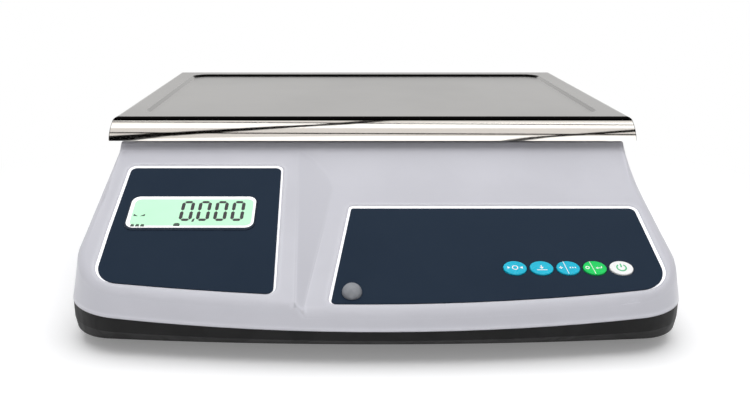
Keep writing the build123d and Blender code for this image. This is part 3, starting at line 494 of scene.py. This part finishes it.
def glassFinish():
    material, tree = freshTree("lcdGlass")
    drift = place(tree, toneDrift, Tone_A=srgb(206, 232, 214), Tone_B=srgb(198, 226, 208), Scale=90.0,
                  Roughness_Low=0.05, Roughness_High=0.10)
    surface(tree, {"Base Color": drift.outputs["Color"], "Roughness": drift.outputs["Roughness"]}, IOR=1.52)
    return material


def boardFinish():  # green solder mask with traces and pads under it
    material, tree = freshTree("circuitBoard")
    spot = put(tree, "TexCoord").outputs["Object"]
    cells = put(tree, "TexVoronoi", {"Vector": spot}, Scale=260.0, feature="DISTANCE_TO_EDGE", distance="MANHATTAN")
    trace = ramp(tree, cells.outputs["Distance"], 1.0, 0.0, 0.02, 0.09)
    mask = blendColour(tree, trace, srgb(22, 84, 48), srgb(46, 124, 70))
    pads = put(tree, "TexVoronoi", {"Vector": spot}, Scale=190.0, feature="F1")
    pad = ramp(tree, pads.outputs["Distance"], 1.0, 0.0, 0.10, 0.14)
    colour = blendColour(tree, pad, mask, srgb(196, 190, 170))
    rough = maths(tree, "MULTIPLY_ADD", pad, 0.15, 0.25)
    lift = put(tree, "Bump", {"Height": trace}, Strength=0.6, Distance=0.00004)
    surface(tree, {"Base Color": colour, "Roughness": rough, "Normal": lift.outputs["Normal"]}, IOR=1.5)
    return material


# Case plastic: light grey, with a glowing painted highlight on the lips of both recesses, painted shade on faces
# turned to +x and painted highlights along rounded edges
caseLook = {
    "tones": (srgb(205, 205, 213), srgb(200, 200, 208)),
    # painted highlight: the near-white lip colour, which also glows
    "lip": srgb(252, 252, 255),
    # painted shade: the darker grey laid on faces turned towards +x
    "facet": srgb(200, 200, 208),
    # painted highlight: the lighter grey laid along rounded edges
    "edgeHighlightTone": srgb(217, 217, 225),
    "softRadius": 0.005,
    "rough": (0.30, 0.40),
    "rounding": 0.0032,
    "lipDepth": (-0.00204, -0.0007),
    "lipBoxes": {
        # across from and to, up the slope from and to
        "display": ((-0.1675, -0.0585), (0.006, 0.1255)),
        "keypad": ((-0.0287, 0.1735), (0.003, 0.0915)),
    },
    "lipFacing": (0.12, 0.4),
    "lipGlow": 0.5,
    "facetAcross": (0.10, 0.32),
    "facetUp": (0.35, 0.55),
    "softAlike": (0.975, 0.999),
}


def within(tree, value, low, high):
    above = maths(tree, "GREATER_THAN", value, low)
    return maths(tree, "MULTIPLY", above, maths(tree, "LESS_THAN", value, high))


def along(tree, direction, normal="Normal"):  # how far the surface faces a direction
    facing = put(tree, "VectorMath", {0: put(tree, "NewGeometry").outputs[normal]}, operation="DOT_PRODUCT")
    facing.inputs[1].default_value = direction
    return facing.outputs["Value"]


def lipMask(tree, side):  # where the painted highlight goes: the sloping walls round a recess, below the fascia plane, facing its middle
    across, up, out = fasciaCoordinates(tree, side)
    (left, right), (low, high) = caseLook["lipBoxes"][side]
    inside = maths(tree, "MULTIPLY", within(tree, across, left, right), within(tree, up, low, high))
    deep = maths(tree, "MULTIPLY", inside, within(tree, out, *caseLook["lipDepth"]))
    turned = fasciaMatrix(side)
    sideways = maths(tree, "MULTIPLY", maths(tree, "SUBTRACT", (left + right) / 2, across), 2 / (right - left))
    upward = maths(tree, "MULTIPLY", maths(tree, "SUBTRACT", (low + high) / 2, up), 2 / (high - low))
    upward = maths(tree, "MINIMUM", upward, 0.0)
    sideways = maths(tree, "MULTIPLY", sideways, along(tree, turned.col[0][:3], "True Normal"))
    upward = maths(tree, "MULTIPLY", upward, along(tree, turned.col[1][:3], "True Normal"))
    inward = ramp(tree, maths(tree, "ADD", sideways, upward), 0.0, 1.0, *caseLook["lipFacing"])
    return maths(tree, "MULTIPLY", deep, inward)


def caseFinish():
    look = caseLook
    material, tree = freshTree("caseGrey")
    grain = place(tree, mouldGrain, Scale=1500.0, Depth=0.000010, Waviness=0.00004, Rounding=look["rounding"])
    drift = place(tree, toneDrift, Tone_A=look["tones"][0], Tone_B=look["tones"][1],
                  Roughness_Low=look["rough"][0], Roughness_High=look["rough"][1])
    # painted highlight on the recess lips
    lip = maths(tree, "MAXIMUM", lipMask(tree, "display"), lipMask(tree, "keypad"))
    # painted shade on faces turned towards +x and upward, the facet among them
    turned = maths(tree, "MULTIPLY", ramp(tree, along(tree, (1, 0, 0)), 0.0, 1.0, *look["facetAcross"]),
                   ramp(tree, along(tree, (0, 0, 1)), 0.0, 1.0, *look["facetUp"]))
    colour = blendColour(tree, turned, drift.outputs["Color"], look["facet"])
    # painted highlight along rounded edges, where the bevelled normal parts from the surface normal
    soft = put(tree, "Bevel", Radius=look["softRadius"], samples=8)
    alike = put(tree, "VectorMath", operation="DOT_PRODUCT")
    tree.links.new(soft.outputs["Normal"], alike.inputs[0])
    tree.links.new(put(tree, "NewGeometry").outputs["Normal"], alike.inputs[1])
    edgeHighlight = ramp(tree, alike.outputs["Value"], 1.0, 0.0, *look["softAlike"])
    colour = blendColour(tree, edgeHighlight, colour, look["edgeHighlightTone"])
    colour = blendColour(tree, lip, colour, look["lip"])
    # painted highlight glow: the lips emit light though they are no lamp
    glow = maths(tree, "MULTIPLY", lip, look["lipGlow"])
    surface(tree, {"Base Color": colour, "Roughness": drift.outputs["Roughness"], "Normal": grain.outputs["Normal"],
                   "Emission Strength": glow}, IOR=1.52, Emission_Color=look["lip"])
    return material


made = {"caseGrey": caseFinish()}
for name in plastics:
    made[name] = mouldedFinish(name)
for name in metals:
    made[name] = metalFinish(name)
made["platterSteel"] = platterFinish()
made["fasciaFilm"] = filmFinish()
made["displayLens"] = windowFinish()
made["levelDome"] = lensFinish()
made["levelFluid"] = fluidFinish()
made["lcdGlass"] = glassFinish()
made["circuitBoard"] = boardFinish()
for name, colour in keyCaps.items():
    made[name] = keyFinish(name, colour)
print("finishes:", len(made))

# Which finish each piece wears
finishOf = {
    "upper_housing": "caseGrey", "base_tray": "trayBlack", "battery_door": "trayBlack",
    "display_overlay": "fasciaFilm", "keypad_overlay": "fasciaFilm", "display_window": "displayLens",
    "lcd_glass": "lcdGlass", "lcd_backlight": "partWhite", "lcd_frame": "partBlack",
    "display_board": "circuitBoard", "keypad_board": "circuitBoard", "main_board": "circuitBoard",
    "main_board_parts": "partBlack", "buzzer": "partBlack", "key_domes": "partWhite",
    "level_lens": "levelDome", "level_cup": "partWhite", "level_fluid": "levelFluid",
    "battery": "batteryCase", "battery_pad": "foamGrey", "dc_jack": "partBlack", "dc_jack_nut": "screwSteel",
    "load_cell_pedestal": "castAluminium", "load_carrier": "castAluminium", "load_cell_spacer": "screwSteel",
    "carrier_spacer": "screwSteel", "load_cell": "cellAluminium", "overload_stop": "screwSteel",
    "stop_nut": "screwSteel", "dust_seal": "rubberBlack", "load_cell_cable": "cableGrey",
    "platter_bumpers": "rubberBlack", "platter": "platterSteel", "platter_pins": "screwSteel",
    "foot_inserts": "brass",
}


def dress(node, finish):
    piece = nodes[node]
    if not piece.material_slots:
        piece.data.materials.append(made[finish])
    for slot in piece.material_slots:
        slot.material = made[finish]


for node in nodes:
    if node in finishOf:
        dress(node, finishOf[node])
    elif node in keyCaps:
        dress(node, node)
    elif node.startswith("foot_pad"):
        dress(node, "rubberBlack")
    elif node.startswith("foot_stud"):
        dress(node, "partBlack")
    elif node.endswith("screws"):
        dress(node, "screwSteel")
    else:
        print("no finish for", node)
print("nodes dressed")

# Housing skin: the moulding with fuller sides, a lip that rises under the platter, and the facet's foot
# Measures are in millimetres
housingShape = {
    "partHeight": 22.0,
    "partHalfWidth": 187.5,
    "draft": 0.20,
    "deck": 97.0,
    "rimWidth": 6.6,
    "grow": 3.6,
    "growFrom": 45.0,
    "square": 0.7,
    "squareFrom": 79.0,
    "lipStart": -56.3,
    "lipFront": -56.1,
    "lipBack": -49.5,
    "lipEnd": -44.5,
    "lipFoot": 91.0,
    "lipHeight": 5.2,
    "lipClimb": (0.8, 0.075),
    "lipRow": 0.8,
    "cutAbove": 90.5,
    "facetFloor": 24.0,
    "facetTop": (-27.0, -89.0),
    "facetToe": (-33.0, -186.8),
    "crest": ((-51.0, -70.0), (-47.0, -188.0)),
    "toeShift": -9.0,
    "toeReach": 1.5,
    "sharpAngle": 24.0,
}


def eased(value, start, end):
    t = min(1.0, max(0.0, (value - start) / (end - start)))
    return t * t * (3 - 2 * t)


def onLine(points, y):
    (xa, ya), (xb, yb) = points
    return xa + (xb - xa) * (y - ya) / (yb - ya)


def widening(x, y, z):  # how far a point of the side wall or its rim moves outward
    look = housingShape
    half = look["partHalfWidth"] - look["draft"] * (z - look["partHeight"])
    if abs(x) <= half - look["rimWidth"]:
        return 0.0
    wider = look["grow"] * eased(z, look["growFrom"], look["deck"])
    if y < look["lipEnd"]:
        wider += look["square"] * eased(z, look["squareFrom"], look["deck"]) * max(0.0, half - abs(x))
    return wider if x > 0 else -wider


def lipRise(y, z):  # a quick climb at the deck's front edge and an easy fall behind it
    look = housingShape
    rise = y - look["lipFront"]
    if y <= look["lipStart"] or y >= look["lipEnd"] or z <= look["lipFoot"]:
        return 0.0
    rate, curve = look["lipClimb"]
    climb = min(look["lipHeight"], max(0.0, rate * rise + curve * rise * rise))
    fall = 1 - eased(y, look["lipBack"], look["lipEnd"])
    share = min(1.0, (z - look["lipFoot"]) / (look["deck"] - look["lipFoot"]))
    return climb * fall * share


def toeMove(x, y, z):  # the facet's face swings about its crest, more towards the foot
    look = housingShape
    (topX, topY), (toeX, toeY) = look["facetTop"], look["facetToe"]
    if y >= topY or z <= look["facetFloor"]:
        return 0.0
    low = onLine(((topX, topY), (toeX, toeY)), y)
    crest = onLine(look["crest"], y)
    if not crest < x < low + look["toeReach"]:
        return 0.0
    depth = (topY - y) / (topY - toeY)
    return look["toeShift"] * min(1.0, depth) * min(1.0, (x - crest) / (low - crest))


def shapedPoint(x, y, z):
    return Vector((x + widening(x, y, z) + toeMove(x, y, z), y, z + lipRise(y, z)))


def shapeHousing():
    look = housingShape
    shell = bmesh.new()
    shell.from_mesh(nodes["upper_housing"].data)
    row = look["lipFront"] + look["lipRow"]
    while row < look["lipEnd"] + look["lipRow"]:
        near = [f for f in shell.faces if min(v.co.z for v in f.verts) > look["cutAbove"] / 1000]
        parts = set(near)
        for face in near:
            parts.update(face.verts)
            parts.update(face.edges)
        bmesh.ops.bisect_plane(shell, geom=list(parts), plane_co=(0, row / 1000, 0), plane_no=(0, 1, 0), dist=1e-6)
        row += look["lipRow"]
    for vert in shell.verts:
        vert.co = shapedPoint(*(vert.co * 1000)) / 1000
    mesh = bpy.data.meshes.new("housing_skin")
    shell.to_mesh(mesh)
    shell.free()
    mesh.materials.append(made["caseGrey"])
    mesh.shade_smooth()
    mesh.set_sharp_from_angle(angle=radians(look["sharpAngle"]))
    skin = bpy.data.objects.new("housing_skin", mesh)
    bpy.context.scene.collection.objects.link(skin)
    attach(skin, "case")
    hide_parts("upper_housing")


shapeHousing()
print("housing shaped")

# Printed marks: flat shapes laid on a fascia, each a thin slab
markHeight = 0.00004


def addPiece(name, shape, material, body):
    mesh = bpy.data.meshes.new(name)
    shape.to_mesh(mesh)
    shape.free()
    mesh.materials.append(material)
    piece = bpy.data.objects.new(name, mesh)
    bpy.context.scene.collection.objects.link(piece)
    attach(piece, body)


def addSlab(shape, low, high):  # a closed slab between two outlines of equal length
    shape.faces.new(high)
    shape.faces.new(low[::-1])
    for i in range(len(low)):
        j = (i + 1) % len(low)
        shape.faces.new((low[i], low[j], high[j], high[i]))


def printedShape(name, side, height, outlines, material, body):
    shape = bmesh.new()
    for outline in outlines:
        low = [shape.verts.new((x, y, 0)) for x, y in outline]
        high = [shape.verts.new((x, y, markHeight)) for x, y in outline]
        addSlab(shape, low, high)
    bmesh.ops.recalc_face_normals(shape, faces=shape.faces)
    shape.transform(fasciaMatrix(side, height))
    addPiece(name, shape, material, body)


def inkFinish(name, colour):
    material, tree = freshTree(name)
    drift = place(tree, toneDrift, Tone_A=colour, Tone_B=scaled(colour, 0.9), Scale=120.0,
                  Roughness_Low=0.3, Roughness_High=0.4)
    surface(tree, {"Base Color": drift.outputs["Color"], "Roughness": drift.outputs["Roughness"]}, IOR=1.45)
    return material


lcdInk = inkFinish("lcdInk", srgb(72, 70, 72))
lcdSoftInk = inkFinish("lcdSoftInk", srgb(84, 98, 90))
whiteInk = inkFinish("whiteInk", srgb(255, 255, 255))
greenInk = inkFinish("greenInk", srgb(86, 204, 140))

# Reading on the display: four seven-segment noughts and a comma
digits = {
    "count": 4,
    "segments": "abcdef",
    "left": -0.1229,
    "bottom": 0.0699,
    "width": 0.0060,
    "height": 0.0170,
    "pitch": 0.01085,
    "slant": 0.02,
    "stroke": 0.0022,
    "gap": 0.0003,
    "comma": ((-0.0036, -0.0018), (-0.0022, -0.0018), (-0.0016, 0.0012), (-0.0030, 0.0008)),
}
windowTop = window["thickness"] - fascia["recess"]


def bar(start, end, stroke, gap):  # a segment with pointed ends
    run = Vector(end) - Vector(start)
    along = run.normalized()
    side = Vector((-along.y, along.x)) * stroke / 2
    first = Vector(start) + along * gap
    last = Vector(end) - along * gap
    tip = along * stroke / 2
    return [first, first + tip - side, last - tip - side, last, last - tip + side, first + tip + side]


def digitOutlines(x, look):
    w, h = look["width"], look["height"]
    ends = {"a": ((0, h), (w, h)), "b": ((w, h / 2), (w, h)), "c": ((w, 0), (w, h / 2)),
            "d": ((0, 0), (w, 0)), "e": ((0, 0), (0, h / 2)), "f": ((0, h / 2), (0, h))}
    outlines = []
    for segment in look["segments"]:
        outline = bar(*ends[segment], look["stroke"], look["gap"])
        outlines.append([(x + p.x + look["slant"] * p.y, look["bottom"] + p.y) for p in outline])
    return outlines


def displayReading():
    look = digits
    outlines = []
    for i in range(look["count"]):
        outlines += digitOutlines(look["left"] + i * look["pitch"], look)
    second = look["left"] + look["pitch"]
    outlines.append([(second + x, look["bottom"] + y) for x, y in look["comma"]])
    printedShape("displayReading", "display", windowTop, outlines, lcdInk, "case")


# State marks, from the window's lower left corner: two level arrows, three ticks, a cell of charge
stateMarks = {
    "arrowMiddle": 0.0080,
    "arrowGap": 0.0006,
    "arrowLength": 0.0030,
    "arrowSpan": (0.0125, 0.0146),
    "ticks": 3,
    "tickFrom": 0.0040,
    "tickPitch": 0.0032,
    "tick": ((0, 0.0026), (0.0027, 0.0026), (0.0022, 0.0050), (0.0005, 0.0050)),
    "cellFrom": 0.0310,
    "cell": ((0, 0.0030), (0.0040, 0.0030), (0.0040, 0.0050), (0.0030, 0.0060), (0.0010, 0.0060), (0, 0.0050)),
}


def displayMarks():
    look = stateMarks
    left, bottom = (middle - size / 2 for middle, size in zip(window["centre"], window["size"]))
    low, high = (bottom + level for level in look["arrowSpan"])
    outlines = []
    for flip in (-1, 1):
        tip = left + look["arrowMiddle"] + flip * look["arrowGap"]
        tail = tip + flip * look["arrowLength"]
        outlines.append([(tip, low), (tail, high), (tail, low)][::flip])
    starts = [(look["tickFrom"] + i * look["tickPitch"], look["tick"]) for i in range(look["ticks"])]
    for start, outline in starts + [(look["cellFrom"], look["cell"])]:
        outlines.append([(left + start + x, bottom + y) for x, y in outline])
    printedShape("displayMarks", "display", windowTop, outlines, lcdSoftInk, "case")


displayReading()
displayMarks()
print("display reading set")

# Symbols on the key caps, in millimetres from each cap's middle
caps = {
    "x": {"key_zero": 0.0827, "key_tare": 0.0986, "key_function": 0.1145, "key_enter": 0.1304, "key_power": 0.1463},
    "y": 0.0328,
    "top": fascia["film"] - fascia["recess"] + 0.0009,
}


def arc(cx, cy, radius, width, start, end, steps=14):
    inner, outer = [], []
    for i in range(steps + 1):
        turn = radians(start + (end - start) * i / steps)
        inner.append((cx + (radius - width / 2) * cos(turn), cy + (radius - width / 2) * sin(turn)))
        outer.append((cx + (radius + width / 2) * cos(turn), cy + (radius + width / 2) * sin(turn)))
    return [[inner[i], outer[i], outer[i + 1], inner[i + 1]] for i in range(steps)]


def rectangle(cx, cy, width, height, lean=0.0):
    return [(cx + a * width / 2 + lean * b * height / 2, cy + b * height / 2)
            for a, b in ((-1, -1), (1, -1), (1, 1), (-1, 1))]


def noughtBetweenArrows():
    marks = arc(0, 0, 1.6, 0.6, 0, 360, 20)
    for side in (-1, 1):
        marks.append([(side * 2.8, 0), (side * 4.6, 1.1), (side * 4.6, -1.1)][::side])
    return marks


def arrowOntoPan():
    return [rectangle(0, -1.9, 6.2, 0.6), rectangle(0, 1.2, 0.6, 1.8), [(0, -1.2), (1.3, 0.4), (-1.3, 0.4)]]


def divider():
    return [rectangle(-1.4, 0, 0.4, 10.6, -0.16)]


def crossAndDots():
    dots = [rectangle(1.2 + i * 1.5, 0, 0.8, 0.9) for i in range(3)]
    return divider() + dots + [rectangle(-4.4, 0, 2.2, 0.6), rectangle(-4.4, 0, 0.6, 2.2)]


def ringAndReturn():
    arrow = [rectangle(2.7, -0.3, 3.0, 0.5), rectangle(4.0, 0.4, 0.5, 1.4), [(0.5, -0.3), (1.7, -1.3), (1.7, 0.7)]]
    return divider() + arrow + arc(-4.4, 0, 1.0, 0.6, 0, 360, 16)


def powerRing():
    return arc(0, 0, 2.7, 0.9, 125, 415, 24) + [rectangle(0, 1.8, 0.9, 3.0)]


def capSymbol(name, outlines, material):
    cx, cy = caps["x"][name], caps["y"]
    placed = [[(cx + x / 1000, cy + y / 1000) for x, y in outline] for outline in outlines]
    printedShape(name + "_symbol", "keypad", caps["top"], placed, material, name)


def keySymbols():
    capSymbol("key_zero", noughtBetweenArrows(), whiteInk)
    capSymbol("key_tare", arrowOntoPan(), whiteInk)
    capSymbol("key_function", crossAndDots(), whiteInk)
    capSymbol("key_enter", ringAndReturn(), whiteInk)
    capSymbol("key_power", powerRing(), greenInk)


keySymbols()
print("key symbols set")

# Cross recesses in the screw heads that show from below, as thin dark slabs of painted shade, in millimetres
screwHeads = {
    "case": {"points": [(-173, -100), (173, -100), (-168, 40), (168, 40), (-135, 170), (135, 170)],
             "z": 11.4, "arm": 1.9, "width": 0.7},
    "door": {"points": [(122, -30), (122, 90)], "z": 8.1, "arm": 1.7, "width": 0.65},
}
recessDepth = 0.03
# painted shade: near-black for the shadow inside each cross recess
recessShadeFinish = inkFinish("driveRecessShade", srgb(30, 30, 30))


def recessShadeMarks(name, look):
    a, w = look["arm"], look["width"] / 2
    outline = [(a, w), (w, w), (w, a), (-w, a), (-w, w), (-a, w), (-a, -w), (-w, -w), (-w, -a), (w, -a),
               (w, -w), (a, -w)]
    shape = bmesh.new()
    for cx, cy in look["points"]:
        turn = radians(17 * (cx + cy) % 90)  # the heads stand at various angles
        rings = []
        for z in (look["z"], look["z"] - recessDepth):
            rings.append([shape.verts.new(((cx + x * cos(turn) - y * sin(turn)) / 1000,
                                           (cy + x * sin(turn) + y * cos(turn)) / 1000, z / 1000))
                          for x, y in outline])
        addSlab(shape, rings[1], rings[0])
    bmesh.ops.recalc_face_normals(shape, faces=shape.faces)
    addPiece(name, shape, recessShadeFinish, "case")


recessShadeMarks("case_screw_recess_shade", screwHeads["case"])
recessShadeMarks("door_screw_recess_shade", screwHeads["door"])
print("screw recesses set")

# Studio: pale floor, pale world, soft lamps and a card that only reflections see
studio = {
    "floorSize": 6.0,
    "floorTone": (0.93, 0.93, 0.94, 1),
    "floorGlow": 0.20,
    "clearFrom": 0.26,
    "clearTo": 0.50,
    "worldLevel": 0.35,
    "glossLevels": (0.86, 0.42),
    "glossHeights": (0.35, 0.8),
    "lampAim": (0, 0, 0.05),
    "overhead": {"place": (0.05, -0.15, 1.5), "size": 1.6, "power": 19.5},
    "front": {"place": (0.3, -1.5, 1.1), "size": 1.2, "power": 0.5},
}


def stageMesh(name, corners, faces, material):
    mesh = bpy.data.meshes.new(name)
    mesh.from_pydata(corners, [], faces)
    mesh.materials.append(material)
    item = bpy.data.objects.new(name, mesh)
    bpy.context.scene.collection.objects.link(item)
    return item


def floorFinish():
    material, tree = freshTree("studioFloor")
    spot = put(tree, "NewGeometry").outputs["Position"]
    away = put(tree, "VectorMath", {0: spot}, operation="LENGTH").outputs["Value"]
    clear = ramp(tree, away, 0.0, 1.0, studio["clearFrom"], studio["clearTo"])
    paper = put(tree, "BsdfDiffuse", Color=studio["floorTone"])
    white = put(tree, "Emission", Color=(1, 1, 1, 1), Strength=1.0)
    lift = put(tree, "Emission", Color=(1, 1, 1, 1), Strength=studio["floorGlow"])
    lit = put(tree, "AddShader", {0: paper.outputs[0], 1: lift.outputs[0]})
    mixed = put(tree, "MixShader", {0: clear, 1: lit.outputs[0], 2: white.outputs[0]})
    put(tree, "OutputMaterial", {"Surface": mixed.outputs[0]})
    return material


def buildWorld():
    world = bpy.data.worlds.new("studioWorld")
    world.use_nodes = True
    tree = world.node_tree
    tree.nodes.clear()
    seen = put(tree, "LightPath")
    height = put(tree, "SeparateXYZ", {"Vector": put(tree, "TexCoord").outputs["Generated"]}).outputs["Z"]
    glossLevel = ramp(tree, height, *studio["glossLevels"], *studio["glossHeights"])
    plain = put(tree, "Background", Color=(1, 1, 1, 1), Strength=studio["worldLevel"])
    bright = put(tree, "Background", Color=(1, 1, 1, 1), Strength=1.0)
    gloss = put(tree, "Background", {"Strength": glossLevel}, Color=(1, 0.995, 0.985, 1))
    first = put(tree, "MixShader", {0: seen.outputs["Is Glossy Ray"], 1: plain.outputs[0], 2: gloss.outputs[0]})
    through = maths(tree, "MAXIMUM", seen.outputs["Is Camera Ray"], seen.outputs["Is Transmission Ray"])
    last = put(tree, "MixShader", {0: through, 1: first.outputs[0], 2: bright.outputs[0]})
    put(tree, "OutputWorld", {"Surface": last.outputs[0]})
    bpy.context.scene.world = world


def addLamp(name, look):
    data = bpy.data.lights.new(name, "AREA")
    data.size = look["size"]
    data.energy = look["power"]
    lamp = bpy.data.objects.new(name, data)
    lamp.location = look["place"]
    aim = Vector(studio["lampAim"]) - Vector(look["place"])
    lamp.rotation_euler = aim.to_track_quat("-Z", "Y").to_euler()
    lamp.visible_glossy = False
    bpy.context.scene.collection.objects.link(lamp)


# The card stands in front of the flange; its strips and bars are what the polished steel mirrors
reflector = {
    "y": -0.450,
    "stripsAhead": 0.0005,
    "barsAhead": 0.001,
    "halfWidth": 0.75,
    "bottom": 0.052,
    "top": 0.395,
    "roof": 0.80,
    "cream": (0.80, 0.77, 0.74, 1),
    "white": (1.35, 1.33, 1.30, 1),
    "whiteStrips": [
        # from x to x below, from x to x above, from z to z
        (-0.75, 0.75, -0.75, 0.75, 0.052, 0.085),
        (-0.50, 0.75, 0.02, 0.75, 0.085, 0.130),
        (-0.75, 0.75, -0.75, 0.75, 0.238, 0.320),
        (-0.75, 0.75, -0.75, 0.75, 0.345, 0.395),
    ],
    "bars": [
        # x and z at one end with half thickness, then at the other
        ((-0.60, 0.362, 0.004), (0.60, 0.268, 0.005)),
        ((-0.60, 0.186, 0.008), (0.60, 0.140, 0.008)),
        ((-0.40, 0.020, 0.036), (0.12, 0.420, 0.008)),
        ((0.05, -0.012, 0.006), (0.44, 0.298, 0.020)),
    ],
}


def emissive(name, colour, strength):
    material, tree = freshTree(name)
    glow = put(tree, "Emission", Color=colour, Strength=strength)
    put(tree, "OutputMaterial", {"Surface": glow.outputs[0]})
    return material


def hideFromAllButGloss(item):
    item.visible_camera = False
    item.visible_diffuse = False
    item.visible_shadow = False
    item.visible_transmission = False


def cardShapes(name, outlines, ahead, material):  # four-sided shapes laid on the card, each given by x and z
    y = reflector["y"] + ahead
    points = [(x, y, z) for outline in outlines for x, z in outline]
    faces = [tuple(range(start, start + 4)) for start in range(0, len(points), 4)]
    return stageMesh(name, points, faces, material)


def buildReflector():
    look = reflector
    levels = (look["bottom"], look["top"], look["roof"])
    corners = [(x, look["y"], z) for z in levels for x in (-look["halfWidth"], look["halfWidth"])]
    card = stageMesh("reflectorCard", corners[:4], [(0, 1, 3, 2)], emissive("cardCream", look["cream"], 1.0))
    roof = stageMesh("reflectorRoof", corners[2:], [(0, 1, 3, 2)], emissive("cardRoof", (0, 0, 0, 1), 0.0))
    outlines = [((xa, za - ta), (xb, zb - tb), (xb, zb + tb), (xa, za + ta))
                for (xa, za, ta), (xb, zb, tb) in look["bars"]]
    bars = cardShapes("reflectorBars", outlines, look["barsAhead"], emissive("cardBars", (0, 0, 0, 1), 0.0))
    outlines = [((leftLow, low), (rightLow, low), (rightHigh, high), (leftHigh, high))
                for leftLow, rightLow, leftHigh, rightHigh, low, high in look["whiteStrips"]]
    strips = cardShapes("reflectorStrips", outlines, look["stripsAhead"], emissive("cardWhite", look["white"], 1.0))
    for item in (card, roof, bars, strips):
        hideFromAllButGloss(item)


half = studio["floorSize"] / 2
stageMesh("studioFloor", [(-half, -half, 0), (half, -half, 0), (half, half, 0), (-half, half, 0)],
          [(0, 1, 2, 3)], floorFinish())
buildWorld()
addLamp("overheadLamp", studio["overhead"])
addLamp("frontLamp", studio["front"])
buildReflector()
print("studio built")


def writeSizes():
    print("sizes not written")


writeSizes()
